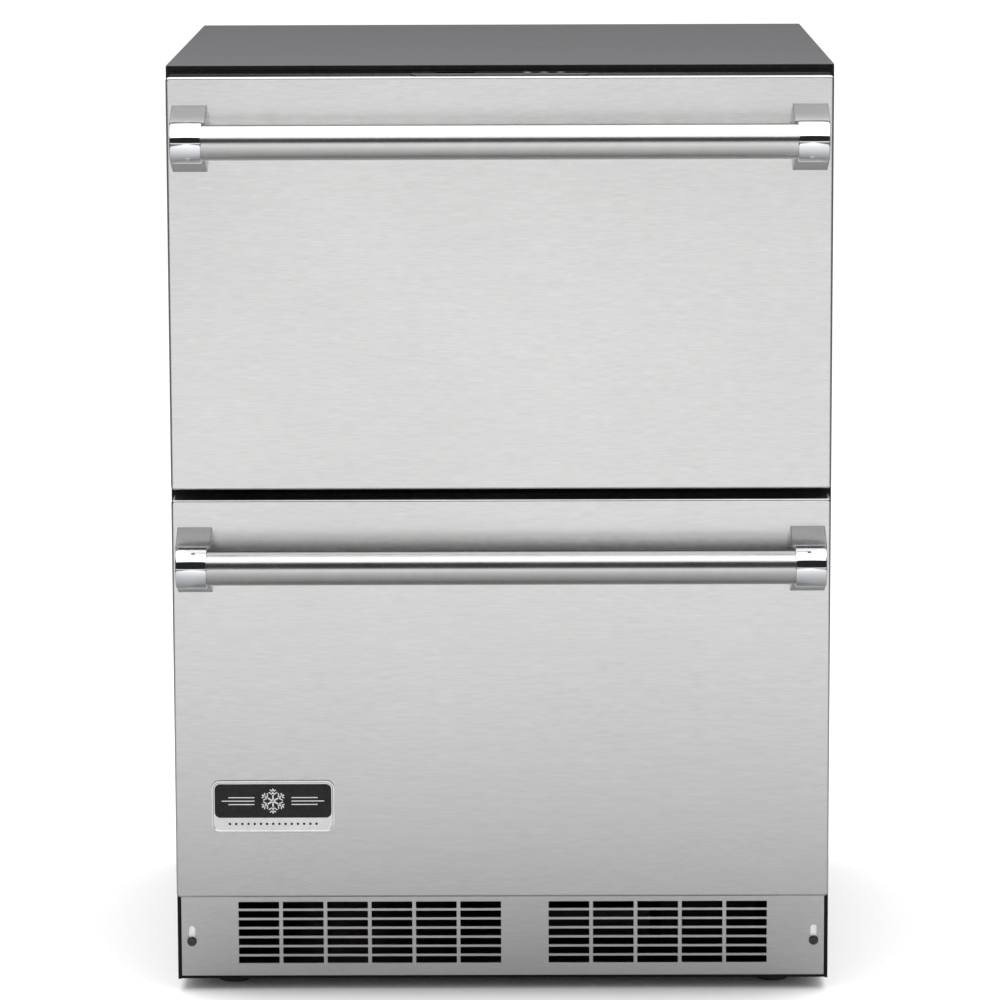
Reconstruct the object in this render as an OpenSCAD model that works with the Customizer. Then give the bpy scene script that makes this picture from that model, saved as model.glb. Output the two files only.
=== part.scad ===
// Two-drawer refrigerator that stands under a counter.
// X runs across the front, Y runs from the front (-Y) to the back (+Y), Z is up.
// The origin is the centre of the footprint, on the surface that the legs stand on.

/* [Cabinet] */
// Width of the cabinet
cab_w = 606; // [500:1:760]
// Depth of the cabinet, without the drawer fronts
cab_d = 560; // [540:1:680]
// Height of the cabinet, from the underside of its base
body_h = 852; // [700:1:1040]
// Height of a levelling leg under the base when it is wound in
foot_h = 12; // [10:1:20]
// Thickness of the outer sheet panels
sheet_t = 1.5; // [1:0.1:2]
// Width of the folded hem on the front edge of each side panel
hem_w = 3; // [2.5:0.1:4]
// Depth of that hem
hem_d = 12; // [8:1:16]
// Height of the turned-down lip along the front of the top panel
lip_h = 5; // [4:0.5:8]
// Thickness of the base pan
base_t = 3; // [2:0.1:4]
// Thickness of the inner liner
liner_t = 1.5; // [1:0.1:2.5]
// Thickness of a side wall and of the back wall, skins included
wall_t = 45; // [36:1:60]
// Thickness of the top wall, skins included
top_wall_t = 54; // [40:1:70]
// Height of the beam between the two openings
mullion_h = 40; // [38:1:60]
// Depth of the passage for cold air behind that beam
air_passage_d = 57; // [40:1:70]

/* [Machine compartment] */
// Depth of the machine compartment at the back
machine_d = 240; // [230:1:260]
// Height of the machine compartment above the underside of the base
machine_h = 278; // [270:1:300]
// Foam between the machine compartment and the cold space
hump_foam_t = 30; // [20:1:45]
// Width of the channel in the back wall that the pipes run up
pipe_channel_w = 16; // [14:1:24]
// Radius of the condenser fan
cond_fan_r = 78; // [60:1:84]
// Radius of the compressor shell
comp_r = 78; // [60:1:84]
// Height of the compressor shell
comp_h = 195; // [150:1:215]

/* [Drawer fronts] */
// Height of the lower drawer's front
lower_front_h = 371; // [300:1:420]
// Gap between the two fronts
front_gap = 9; // [6:0.5:14]
// Distance from the cabinet's side to a front's edge
front_inset = 3; // [1:0.5:8]
// Thickness of a drawer front
front_t = 40; // [30:1:50]
// Radius of a front's corners
front_corner_r = 3.5; // [2.5:0.5:8]
// Thickness of a front's steel skin
skin_t = 1.2; // [0.8:0.1:2]
// Distance from the cabinet's top down to the upper front's top edge
top_drop = 7; // [6:0.5:14]
// Height of the open band under the lower front, where the kick plate is
kick_zone_h = 90; // [80:1:110]
// Depth of the gap that the gaskets fill
seal_gap = 10; // [6:0.5:14]
// Width of a gasket
gasket_w = 12; // [9:0.5:13]

/* [Handles] */
// Diameter of a handle bar
bar_d = 31.5; // [20:0.5:34]
// Wall thickness of a handle bar
bar_t = 2; // [1.5:0.1:3]
// Diameter of the cap on each end of a bar
cap_d = 37; // [35:0.5:44]
// Width of a cap
cap_w = 28; // [20:1:36]
// Distance from the front's face to the bar's axis
bar_out = 45; // [40:1:60]
// Distance from the front's edge to the cap's outer end
cap_inset = 7; // [3:0.5:30]
// Distance from a front's top edge down to the bar's axis
bar_drop = 55; // [40:1:90]
// Height of a bracket where it meets the front
bracket_h = 60; // [48:1:70]

/* [Bins and slides] */
// Wall thickness of a bin
bin_t = 2; // [1.5:0.1:3]
// Depth of a bin from front to back
bin_d = 452; // [400:1:453]
// Room above the upper bin's rim
upper_head_room = 50.5; // [20:0.5:80]
// Room above the lower bin's rim
lower_head_room = 31.5; // [20:0.5:60]
// Thickness of a telescopic slide
slide_t = 12.7; // [12:0.1:14]
// Height of a telescopic slide
slide_h = 45; // [40:1:50]
// Length of the rail that is fixed to the cabinet
rail_l = 480; // [440:1:500]
// Length of the two moving members of a slide
member_l = 440; // [400:1:450]
// Height of the upper slides above the upper opening's lower edge
upper_slide_rise = 80; // [60:1:160]
// Height of the lower slides under the lower opening's upper edge
lower_slide_drop = 70; // [60:1:100]
// Thickness of a bin's divider
divider_t = 3; // [2:0.5:5]
// Height of a bin's divider
divider_h = 90; // [60:1:95]

/* [Kick plate] */
// Thickness of the kick plate
plate_t = 1.2; // [0.8:0.1:1.6]
// Height of the kick plate
plate_h = 81; // [60:1:81]
// Width of a slot
slot_w = 37.7; // [20:0.1:60]
// Height of a slot
slot_h = 6.2; // [4:0.1:8]
// Width of the bar between two slots in a row
slot_bar_w = 3.65; // [2.5:0.05:6]
// Height of the bar between two rows
slot_bar_h = 2.5; // [2:0.1:4]
// Width of the plain stretch between the two groups of slots
plain_w = 44.5; // [20:0.5:80]
// Smallest plain margin at each end of the plate
end_margin = 50; // [40:1:80]
// Plain margin under the lowest row
low_margin = 12; // [8:1:20]
// Distance from the plate's end to its screw
plate_screw_inset = 9.7; // [8:0.1:14]
// Height of the screws above the plate's lower edge
plate_screw_z = 33; // [20:1:50]
// Width of the slotted hole for each screw
screw_slot_w = 6.5; // [5.5:0.1:7]
// Length of the slotted hole for each screw
screw_slot_l = 18; // [12:0.5:24]

/* [Levelling legs] */
// Radius of a leg's pad
pad_r = 16; // [12:0.5:22]
// Radius of a leg's threaded stem
stem_r = 5; // [4:0.5:6]
// Distance of each leg from the cabinet's sides, front and back
leg_inset = 50; // [30:1:80]

/* [Controls and badge] */
// Width of the control module
module_w = 160; // [120:1:200]
// Depth of the control module's flange
module_d = 32; // [24:1:36]
// Height of its flange above the front's top edge
module_h = 2.2; // [1.6:0.1:3]
// Radius of a key
key_r = 4.5; // [3.5:0.1:5.5]
// Distance between keys
key_pitch = 15; // [13:0.5:20]
// Width of the badge
badge_w = 113.6; // [60:0.1:140]
// Height of the badge
badge_h = 48.7; // [30:0.1:60]
// Thickness of the badge
badge_t = 2; // [1:0.1:3]

/* [Hidden] */
$fn = 48;

// Clearances
fit = 0.15; // between foam and what holds it
part_gap = 0.3; // between neighbouring sheet parts
run_gap = 0.1; // round a shaft or a stem
cap_groove = 0.8; // between a bracket and its cap

// Depths
overall_d = cab_d + seal_gap + front_t + bar_out + cap_d / 2;
y_back = overall_d / 2;
y_cab = y_back - cab_d;
y_face = y_cab - seal_gap - front_t;
y_inner = y_face + front_t;
y_cold_back = y_back - wall_t;
y_bar = y_face - bar_out;
y_machine = y_back - sheet_t - machine_d;

// Widths
half_w = cab_w / 2;
half_in = half_w - sheet_t;
half_cold = half_w - wall_t;
front_w = cab_w - 2 * front_inset;

// Heights
z_base = foot_h;
z_floor = z_base + base_t;
z_top = z_base + body_h;
z_under_top = z_top - sheet_t;
lower_z0 = z_base + kick_zone_h;
lower_z1 = lower_z0 + lower_front_h;
upper_z0 = lower_z1 + front_gap;
upper_z1 = z_top - top_drop;
z_gap = (lower_z1 + upper_z0) / 2;
mullion_z0 = z_gap - mullion_h / 2;
mullion_z1 = z_gap + mullion_h / 2;
cold_z0 = lower_z0 + 28;
cold_z1 = z_top - top_wall_t;
z_machine = z_base + machine_h;
z_hump = z_machine + hump_foam_t + liner_t;
y_hump = y_machine - hump_foam_t - liner_t;
foam_z0 = lower_z0 - 2;

// Machine compartment
machine_y = (y_machine + y_back - sheet_t) / 2;
shroud_x = -0.175 * cab_w;
cond_fan_z = z_floor + cond_fan_r + 47;
cond_w = 75;
comp_x = half_w - comp_r - 75;
comp_z0 = z_floor + 13;
drier_r = 9;
drier_y = y_machine + 20;
drier_z = z_floor + 20;
suction_r = 4;
liquid_r = 3;
cap_tube_r = 1.5;
pipe_y = y_back - 22;

// Cold space
y_cover = y_cold_back - 52;
evap_z = (mullion_z1 + cold_z1) / 2 + 16;
evap_cover_h = cold_z1 - mullion_z1 - 62.5;
evap_coil_h = evap_cover_h - 50;
evap_fan_r = 45;
evap_fan_x = -0.21 * cab_w;
pipe_exit_z = evap_z + 0.2 * evap_coil_h;

// Bins and slides
plug_t = seal_gap - 2;
bin_y0 = y_inner + plug_t;
bin_half_w = half_cold - slide_t - part_gap;
bin_y1 = bin_y0 + bin_d;
upper_bin_z0 = mullion_z1 + 14;
upper_rim_z = cold_z1 - upper_head_room;
lower_bin_z0 = cold_z0 + 12;
lower_rim_z = mullion_z0 - lower_head_room;
lower_bin_step_z = z_hump + 10;
lower_bin_step_y = y_hump - 10;
upper_slide_z = mullion_z1 + upper_slide_rise;
lower_slide_z = mullion_z0 - lower_slide_drop;
slide_y0 = y_cab + 7;
sheet_s = 1.2; // sheet of the slide members

// Handles
bar_r = bar_d / 2;
cap_r = cap_d / 2;
cap_x1 = front_w / 2 - cap_inset;
cap_x0 = cap_x1 - cap_w;
cap_bore_d = cap_w / 2;

// Kick plate
plate_half_w = half_w - hem_w - part_gap - 0.2;
plate_z0 = z_floor;
plate_screw_x = plate_half_w - plate_screw_inset;
screw_z = plate_z0 + plate_screw_z;
pitch_x = slot_w + slot_bar_w;
pitch_z = slot_h + slot_bar_h;
columns = floor((2 * (plate_half_w - end_margin) - plain_w + 2 * slot_bar_w) / pitch_x);
left_columns = ceil(columns / 2);
rows = floor((plate_h - low_margin - 6 + slot_bar_h) / pitch_z);
pattern_w = columns * pitch_x - 2 * slot_bar_w + plain_w;
plain_x0 = -pattern_w / 2 + left_columns * pitch_x - slot_bar_w;
pan_set_back = plate_t + 0.8;
shank_r = 2.2;

// Controls
key_xs = [-key_pitch, 0, key_pitch];
keys_x = module_w / 4;
module_y = y_face + front_t / 2;
pocket_w = module_w - 20;
pocket_d = module_d - 8;
pocket_h = 14;
window_w = 36;
window_d = 14;

// Box between two corners
module span(lo, hi) {
    translate(lo) cube(hi - lo);
}

// The children and their mirror image across the middle
module both_sides() {
    children();
    mirror([1, 0, 0]) children();
}

// Upright plate, y to y + t, from an outline drawn in X and Z
module upright(y, t) {
    translate([0, y + t, 0]) rotate([90, 0, 0]) linear_extrude(t) children();
}

// Rectangle with round corners
module round_rect(w, h, r) {
    square([w - 2 * r, h], center = true);
    square([w, h - 2 * r], center = true);
    for (x = [-1, 1], y = [-1, 1]) translate([x * (w / 2 - r), y * (h / 2 - r)]) circle(r);
}

// Rod along Y
module rod_y(x, y0, y1, z, r) {
    translate([x, y0, z]) rotate([-90, 0, 0]) cylinder(h = y1 - y0, r = r);
}

// Rod along X
module rod_x(x0, x1, y, z, r) {
    translate([x0, y, z]) rotate([0, 90, 0]) cylinder(h = x1 - x0, r = r);
}

// Pipe through a list of points, with ball corners
module pipe(points, r) {
    for (i = [0 : len(points) - 2]) {
        run = points[i + 1] - points[i];
        tilt = acos(run.z / norm(run));
        turn = atan2(run.y, run.x);
        translate(points[i]) rotate([0, tilt, turn]) cylinder(h = norm(run), r = r);
    }
    for (i = [1 : len(points) - 2]) translate(points[i]) sphere(r);
}

// ---------------------------------------------------------------- cabinet

module top_panel() {
    lip_half = half_w - hem_w - part_gap;
    color("dimgray") {
        span([-half_w, y_cab, z_under_top], [half_w, y_back, z_top]);
        span([-lip_half, y_cab, z_top - lip_h], [lip_half, y_cab + sheet_t, z_top]);
    }
}

module side_panel() {
    z1 = z_under_top - fit;
    color("black") {
        span([half_in, y_cab, z_base], [half_w, y_back, z1]);
        span([half_w - hem_w, y_cab, z_base], [half_w, y_cab + hem_d, z1]);
    }
}

module left_side_panel() {
    mirror([1, 0, 0]) side_panel();
}

module right_side_panel() {
    side_panel();
}

module back_panel() {
    x = half_in - fit;
    color("darkgray") span([-x, y_back - sheet_t, z_machine], [x, y_back, z_under_top - fit]);
}

inlet_w = 48;
inlet_h = 28;
inlet_x = half_w - 78;
inlet_z = z_floor + 60;

module rear_cover() {
    x = half_in - fit;
    louvre_w = cab_w / 4;
    color("darkgray") difference() {
        span([-x, y_back - sheet_t, z_floor + fit], [x, y_back, z_machine - part_gap]);
        for (side = [-1, 1], row = [0 : 7])
            translate([side * cab_w / 5, y_back, z_machine - 40 - 14 * row])
                cube([louvre_w, 4 * sheet_t, 5], center = true);
        translate([inlet_x, y_back, inlet_z])
            cube([inlet_w + part_gap, 4 * sheet_t, inlet_h + part_gap], center = true);
    }
}

module leg_places() {
    for (x = [-1, 1], y = [y_cab + leg_inset, y_back - leg_inset])
        translate([x * (half_w - leg_inset), y, 0]) children();
}

module base_pan() {
    x = half_in - fit;
    x_hem = half_w - hem_w - fit;
    tab_y = y_cab + pan_set_back;
    color("black") difference() {
        union() {
            span([-x, y_cab + hem_d + fit, z_base], [x, y_back, z_floor]);
            span([-x_hem, tab_y, z_base], [x_hem, y_cab + hem_d + 1, z_floor]);
            both_sides() span([plate_screw_x - 8, tab_y, z_base],
                              [plate_screw_x + 8, tab_y + sheet_t, screw_z + 20]);
            leg_places() translate([0, 0, z_floor]) cylinder(h = 12, r = stem_r + 4);
        }
        leg_places() translate([0, 0, z_base - 1]) cylinder(h = base_t + 14, r = stem_r + run_gap);
        both_sides() rod_y(plate_screw_x, tab_y - 1, tab_y + sheet_t + 1, screw_z, shank_r);
    }
}

// Foam, in slabs that fill each wall between its skins
module insulation_foam() {
    x_in = half_cold + liner_t + fit;
    x_out = half_in - fit;
    y_front = y_cab + hem_d + fit;
    y_mid = y_cab + plate_t + fit;
    y_liner = y_cold_back + liner_t;
    y_rear = y_back - sheet_t - fit;
    z_ceil = cold_z1 + liner_t + fit;
    channel = pipe_channel_w / 2;
    color("khaki") {
        span([-x_out, y_front, z_ceil], [x_out, y_rear, z_under_top - fit]);
        both_sides() span([x_in, y_front, z_machine], [x_out, y_rear, z_ceil - 2 * fit]);
        both_sides() span([x_in, y_front, foam_z0], [x_out, y_machine, z_machine - 2 * fit]);
        both_sides() span([channel, y_liner + fit, z_machine], [x_in - 2 * fit, y_rear, z_ceil - 2 * fit]);
        span([-half_cold + fit, y_mid, mullion_z0 + liner_t + fit],
             [half_cold - fit, y_cold_back - air_passage_d - liner_t - fit, mullion_z1 - liner_t - fit]);
        span([-x_in + 2 * fit, y_mid, foam_z0],
             [x_in - 2 * fit, y_hump + liner_t - fit, cold_z0 - liner_t - fit]);
        span([-x_in + 2 * fit, y_hump + liner_t + fit, foam_z0],
             [x_in - 2 * fit, y_machine, z_machine - 2 * fit]);
        span([-x_in + 2 * fit, y_hump + liner_t + fit, z_machine],
             [x_in - 2 * fit, y_liner - fit, z_hump - liner_t - fit]);
    }
}

// The cold space, grown by a margin on every side but the front
module cold_space(grow, y0) {
    x = half_cold + grow;
    span([-x, y0, z_hump - grow], [x, y_cold_back + grow, cold_z1 + grow]);
    span([-x, y0, cold_z0 - grow], [x, y_hump + grow, z_hump + grow + 1]);
}

module inner_liner() {
    y0 = y_cab + plate_t;
    y_end = y_cold_back - air_passage_d;
    color("whitesmoke") {
        difference() {
            cold_space(liner_t, y0);
            cold_space(0, y0 - 1);
            rod_y(0, y_cold_back - 1, y_cold_back + 2 * liner_t, pipe_exit_z, pipe_channel_w / 2);
        }
        difference() {
            span([-half_cold, y0, mullion_z0], [half_cold, y_end, mullion_z1]);
            span([-half_cold, y0 - 1, mullion_z0 + liner_t],
                 [half_cold, y_end - liner_t, mullion_z1 - liner_t]);
        }
    }
}

module front_frame() {
    x = half_w - hem_w - part_gap;
    color("black") difference() {
        span([-x, y_cab, foam_z0 - 1], [x, y_cab + plate_t, z_top - lip_h - part_gap]);
        span([-half_cold, y_cab - 1, cold_z0], [half_cold, y_cab + plate_t + 1, mullion_z0]);
        span([-half_cold, y_cab - 1, mullion_z1], [half_cold, y_cab + plate_t + 1, cold_z1]);
    }
}

module light_bar() {
    z = cold_z1;
    w = 0.2 * cab_w;
    color("white") difference() {
        span([-w, y_cab + 30, z - 8], [w, y_cab + 54, z]);
        span([-w + 3, y_cab + 33, z - 9], [w - 3, y_cab + 51, z - 6]);
    }
}

// ------------------------------------------------------------ cold circuit

module evaporator_coil() {
    x0 = evap_fan_x + evap_fan_r + 12;
    x1 = half_cold - 60;
    y0 = y_cover + 12;
    y1 = y_cold_back - 4;
    y_mid = (y0 + y1) / 2;
    half_h = evap_coil_h / 2;
    row_h = 0.2 * evap_coil_h;
    fins = 18;
    color("silver") {
        for (i = [0 : fins - 1]) translate([x0 + i * (x1 - x0) / (fins - 1), 0, 0])
            span([-0.4, y0, evap_z - half_h], [0.4, i % (fins - 1) == 0 ? y_cold_back : y1, evap_z + half_h]);
        span([-18, y1 - 6, pipe_exit_z - 7], [18, y1, pipe_exit_z + 7]);
        for (i = [-2 : 2]) rod_x(x0 - 8, x1 + 8, y_mid, evap_z + i * row_h, 4.5);
        for (i = [-2, 0]) translate([x1 + 4, y_mid - 3, evap_z + i * row_h]) cube([6, 6, row_h]);
        for (i = [-1, 1]) translate([x0 - 10, y_mid - 3, evap_z + i * row_h]) cube([6, 6, row_h]);
    }
}

module evaporator_cover() {
    x = half_cold - 42;
    z0 = evap_z - evap_cover_h / 2;
    z1 = evap_z + evap_cover_h / 2;
    color("white") difference() {
        span([-x, y_cover, z0], [x, y_cold_back, z1]);
        span([-x + sheet_t, y_cover + sheet_t, z0 + sheet_t],
             [x - sheet_t, y_cold_back + 1, z1 - sheet_t]);
        rod_y(evap_fan_x, y_cover - 1, y_cover + 4, evap_z, evap_fan_r - 4);
        for (row = [1 : 6]) span([20, y_cover - 1, z0 + 0.05 * evap_cover_h * row],
                                 [x - 20, y_cover + 4, z0 + 0.05 * evap_cover_h * row + 5]);
    }
}

// Round motor on a foot or a bracket, along its axis from 0
module motor(r, h, shaft_r, shaft_l) {
    rotate_extrude() polygon([[0, 0], [0.8 * r, 0], [r, 0.2 * r], [r, h - 0.2 * r], [0.8 * r, h], [0, h]]);
    translate([0, 0, h]) cylinder(h = shaft_l, r = shaft_r);
}

// Fan with flat pitched blades, its hub from 0 to h
module fan(r, hub_r, h, bore_r, blades) {
    difference() {
        union() {
            cylinder(h = h, r = hub_r);
            for (i = [0 : blades - 1]) rotate(360 / blades * i) translate([(r + hub_r - 2) / 2, 0, h / 2])
                rotate([28, 0, 0]) cube([r - hub_r - 2, 0.62 * r, 1.6], center = true);
        }
        translate([0, 0, -1]) cylinder(h = 0.75 * h + 1, r = bore_r);
    }
}

evap_motor_y = y_cold_back - 5;
evap_motor_h = 20;
evap_shaft_r = 2;

module evaporator_fan_motor() {
    color("gray") translate([evap_fan_x, evap_motor_y, evap_z]) rotate([90, 0, 0]) {
        motor(16, evap_motor_h, evap_shaft_r, 8);
        translate([-30, -6, 0]) cube([60, 12, 3]);
    }
    color("gray") both_motor_posts();
}

module both_motor_posts() {
    for (side = [-1, 1]) rod_y(evap_fan_x + side * 26, evap_motor_y, y_cold_back, evap_z, 4);
}

module evaporator_fan() {
    color("black") translate([evap_fan_x, evap_motor_y - evap_motor_h - 1, evap_z]) rotate([90, 0, 0])
        fan(evap_fan_r - 8, 11, 12, evap_shaft_r + run_gap, 5);
}

module compressor() {
    h = comp_h;
    color("black") translate([comp_x, machine_y, comp_z0]) {
        rotate_extrude() polygon([
            [0, 0], [0.86 * comp_r, 0], [comp_r, 14], [comp_r, 0.46 * h], [comp_r + 3, 0.46 * h],
            [comp_r + 3, 0.5 * h], [comp_r, 0.5 * h], [comp_r, 0.78 * h], [0.86 * comp_r, 0.92 * h],
            [0.6 * comp_r, h], [0, h]
        ]);
        translate([-comp_r - 8, -20, -3]) cube([2 * comp_r + 16, 40, 6]);
        for (x = [-1, 1]) translate([x * (comp_r - 2), 0, -13]) cylinder(h = 12, r = 9);
        translate([-22, -comp_r - 14, 40]) cube([44, 24, 46]);
        rotate([0, -90, 0]) translate([0.8 * h, 0, 0]) cylinder(h = comp_r + 14, r = 5.5);
        translate([38, 0, 0.25 * h]) rotate([90, 0, 0]) cylinder(h = comp_r + 14, r = 4.5);
    }
}

cond_x0 = shroud_x - cond_w - 18;
cond_x1 = shroud_x - 18;
cond_y0 = y_machine + 12;
cond_y1 = y_back - sheet_t - 12;

module condenser_coil() {
    z0 = z_floor + 2;
    z1 = z_machine - 26;
    fins = 20;
    color("dimgray") {
        for (i = [0 : fins - 1]) translate([0, cond_y0 + 8 + i * (cond_y1 - cond_y0 - 16) / (fins - 1), 0])
            span([cond_x0, -0.5, z0], [cond_x1, 0.5, z1]);
        for (x = [0.28, 0.72], z = [0.08 : 0.21 : 0.92])
            rod_y(cond_x0 + x * cond_w, cond_y0, cond_y1, z0 + z * (z1 - z0), 4.5);
    }
}

module condenser_shroud() {
    color("dimgray") difference() {
        span([shroud_x, y_machine + 2, z_floor], [shroud_x + sheet_t, y_back - sheet_t - 2, z_machine - 2]);
        rod_x(shroud_x - 1, shroud_x + sheet_t + 1, machine_y, cond_fan_z, cond_fan_r + 5);
    }
}

cond_hub_x = shroud_x + 8;
cond_hub_h = 28;
cond_shaft_r = 3;
cond_motor_h = 40;
cond_motor_x = cond_hub_x + cond_hub_h + 2 + cond_motor_h;

module condenser_fan_motor() {
    foot_x = cond_motor_x - cond_motor_h / 2;
    color("gray") {
        translate([cond_motor_x, machine_y, cond_fan_z]) rotate([0, -90, 0])
            motor(30, cond_motor_h, cond_shaft_r, 18);
        span([foot_x - 5, machine_y - 12, z_floor], [foot_x + 5, machine_y + 12, cond_fan_z - 20]);
        span([foot_x - 20, machine_y - 30, z_floor], [foot_x + 20, machine_y + 30, z_floor + 2]);
    }
}

module condenser_fan() {
    color("dimgray") translate([cond_hub_x + cond_hub_h, machine_y, cond_fan_z]) rotate([0, -90, 0])
        fan(cond_fan_r - 5, 20, cond_hub_h, cond_shaft_r + run_gap, 6);
}

drier_x0 = cond_motor_x - 10;
drier_l = 104;

module filter_drier() {
    color("darkgoldenrod") translate([drier_x0, drier_y, drier_z]) rotate([0, 90, 0]) rotate_extrude()
        polygon([[0, 0], [3.5, 0], [drier_r, 14], [drier_r, drier_l - 14], [3.5, drier_l], [0, drier_l]]);
}

module refrigerant_tubing() {
    hot_y = y_machine - 15;
    low_y = y_machine - 28;
    discharge_x = comp_x + 38;
    discharge_y = machine_y - comp_r - 14;
    discharge_z = comp_z0 + 0.25 * comp_h;
    cond_z = z_floor + 2 + 0.08 * (z_machine - z_floor - 28);
    hot_x = cond_x0 + 0.72 * cond_w;
    cool_x = cond_x0 + 0.28 * cond_w;
    suction_x = comp_x - comp_r - 14;
    suction_z = comp_z0 + 0.8 * comp_h;
    rise_x = drier_x0 + drier_l + 12;
    color("peru") {
        pipe([[discharge_x, discharge_y, discharge_z], [discharge_x, hot_y, discharge_z],
              [hot_x, hot_y, discharge_z], [hot_x, hot_y, cond_z], [hot_x, cond_y0, cond_z]], liquid_r);
        pipe([[cool_x, cond_y0, cond_z], [cool_x, low_y, cond_z], [drier_x0 - 15, low_y, cond_z],
              [drier_x0 - 15, drier_y, cond_z], [drier_x0 - 15, drier_y, drier_z],
              [drier_x0, drier_y, drier_z]], liquid_r);
        pipe([[suction_x, machine_y, suction_z], [suction_x - 22, machine_y, suction_z],
              [suction_x - 22, machine_y, z_machine - 12], [suction_x - 22, pipe_y, z_machine - 12],
              [3.5, pipe_y, z_machine - 12], [3.5, pipe_y, pipe_exit_z],
              [3.5, y_cold_back - 4, pipe_exit_z]], suction_r);
        pipe([[drier_x0 + drier_l, drier_y, drier_z], [rise_x, drier_y, drier_z],
              [rise_x, drier_y, z_machine - 26], [-4.5, drier_y, z_machine - 26],
              [-4.5, pipe_y, z_machine - 26], [-4.5, pipe_y, pipe_exit_z],
              [-4.5, y_cold_back - 4, pipe_exit_z]], cap_tube_r);
    }
}

module drain_tray() {
    x0 = plain_x0 + plain_w;
    x1 = control_x0 - 10;
    y0 = y_machine - 170;
    color("black") difference() {
        span([x0, y0, z_floor], [x1, y0 + 120, z_floor + 26]);
        span([x0 + 2, y0 + 2, z_floor + 2], [x1 - 2, y0 + 118, z_floor + 30]);
    }
}

control_x1 = half_w - 62;
control_x0 = control_x1 - 90;

module control_box() {
    y0 = y_cab + 120;
    color("gray") {
        span([control_x0, y0, z_floor], [control_x1, y0 + 140, z_floor + 44]);
        span([control_x0 - 2, y0 - 2, z_floor + 44], [control_x1 + 2, y0 + 142, z_floor + 48]);
    }
}

module power_inlet() {
    y0 = y_back - 27;
    color("black") {
        difference() {
            translate([inlet_x - inlet_w / 2, y0, inlet_z - inlet_h / 2]) cube([inlet_w, 27, inlet_h]);
            translate([inlet_x - 12, y_back - 16, inlet_z - 8]) cube([24, 17, 16]);
        }
        for (i = [-1 : 1]) translate([inlet_x + 7 * i - 1, y_back - 17, inlet_z - (i == 0 ? 0 : 3)])
            cube([2, 12, 4]);
    }
}

module air_baffle() {
    x = plain_x0 + plain_w / 2;
    color("silver") span([x, y_cab + 8, z_floor], [x + plate_t, y_machine - 40, foam_z0 - fit]);
}

// --------------------------------------------------------------- kick plate

module kick_plate() {
    slot_y = y_cab - 1;
    slot_t = plate_t + 2;
    color("silver") difference() {
        span([-plate_half_w, y_cab, plate_z0], [plate_half_w, y_cab + plate_t, plate_z0 + plate_h]);
        for (column = [0 : columns - 1], row = [0 : rows - 1]) {
            shift = column < left_columns ? 0 : plain_w - slot_bar_w;
            translate([-pattern_w / 2 + column * pitch_x + shift, slot_y, plate_z0 + low_margin + row * pitch_z])
                cube([slot_w, slot_t, slot_h]);
        }
        both_sides() {
            z0 = screw_z;
            z1 = screw_z + screw_slot_l - screw_slot_w;
            rod_y(plate_screw_x, slot_y, slot_y + slot_t, z0, screw_slot_w / 2);
            rod_y(plate_screw_x, slot_y, slot_y + slot_t, z1, screw_slot_w / 2);
            span([plate_screw_x - screw_slot_w / 2, slot_y, z0],
                 [plate_screw_x + screw_slot_w / 2, slot_y + slot_t, z1]);
        }
    }
}

module kick_plate_screws() {
    head_y = y_cab - part_gap;
    color("dimgray") both_sides() difference() {
        union() {
            rod_y(plate_screw_x, head_y - 2.2, head_y, screw_z, 4.5);
            rod_y(plate_screw_x, head_y, y_cab + pan_set_back + sheet_t + 4, screw_z, shank_r);
        }
        for (turn = [0, 90]) translate([plate_screw_x, head_y - 2.2, screw_z]) rotate([0, turn, 0])
            cube([5, 2, 1], center = true);
    }
}

// --------------------------------------------------------------------- legs

module leg(x, y) {
    color("dimgray") translate([x, y, 0]) {
        cylinder(h = 6, r = pad_r);
        translate([0, 0, 6]) cylinder(h = foot_h - 7, r = 9.8, $fn = 6);
        cylinder(h = 62, r = stem_r);
    }
}

leg_x = half_w - leg_inset;

module front_left_leg() {
    leg(-leg_x, y_cab + leg_inset);
}

module front_right_leg() {
    leg(leg_x, y_cab + leg_inset);
}

module rear_left_leg() {
    leg(-leg_x, y_back - leg_inset);
}

module rear_right_leg() {
    leg(leg_x, y_back - leg_inset);
}

// ------------------------------------------------------------ drawer fronts

module front_outline(z0, z1, inset) {
    translate([0, (z0 + z1) / 2])
        round_rect(front_w - 2 * inset, z1 - z0 - 2 * inset, front_corner_r - min(inset, 2));
}

module front_skin(z0, z1) {
    difference() {
        upright(y_face, front_t) front_outline(z0, z1, 0);
        upright(y_face + skin_t, front_t) front_outline(z0, z1, skin_t);
    }
}

module front_foam(z0, z1) {
    upright(y_face + skin_t + fit, front_t - skin_t - liner_t - 2 * fit)
        front_outline(z0, z1, skin_t + fit);
}

// Inner panel of a front, with a raised plug the size of its opening
module front_liner(z0, z1, open_z0, open_z1) {
    color("whitesmoke") {
        upright(y_inner - liner_t, liner_t) front_outline(z0, z1, skin_t + fit);
        span([-half_cold + 10, y_inner, open_z0 + 10], [half_cold - 10, y_inner + plug_t, open_z1 - 10]);
    }
}

module gasket(open_z0, open_z1) {
    inner = 2;
    outer = inner + gasket_w;
    color("black") difference() {
        span([-half_cold - outer, y_inner, open_z0 - outer],
             [half_cold + outer, y_cab - part_gap, open_z1 + outer]);
        span([-half_cold - inner, y_inner - 1, open_z0 - inner],
             [half_cold + inner, y_cab, open_z1 + inner]);
    }
}

module handle_bar(z) {
    x = cap_x0 + cap_bore_d - fit;
    color("silver") difference() {
        rod_x(-x, x, y_bar, z, bar_r);
        rod_x(-x - 1, x + 1, y_bar, z, bar_r - bar_t);
    }
}

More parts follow.
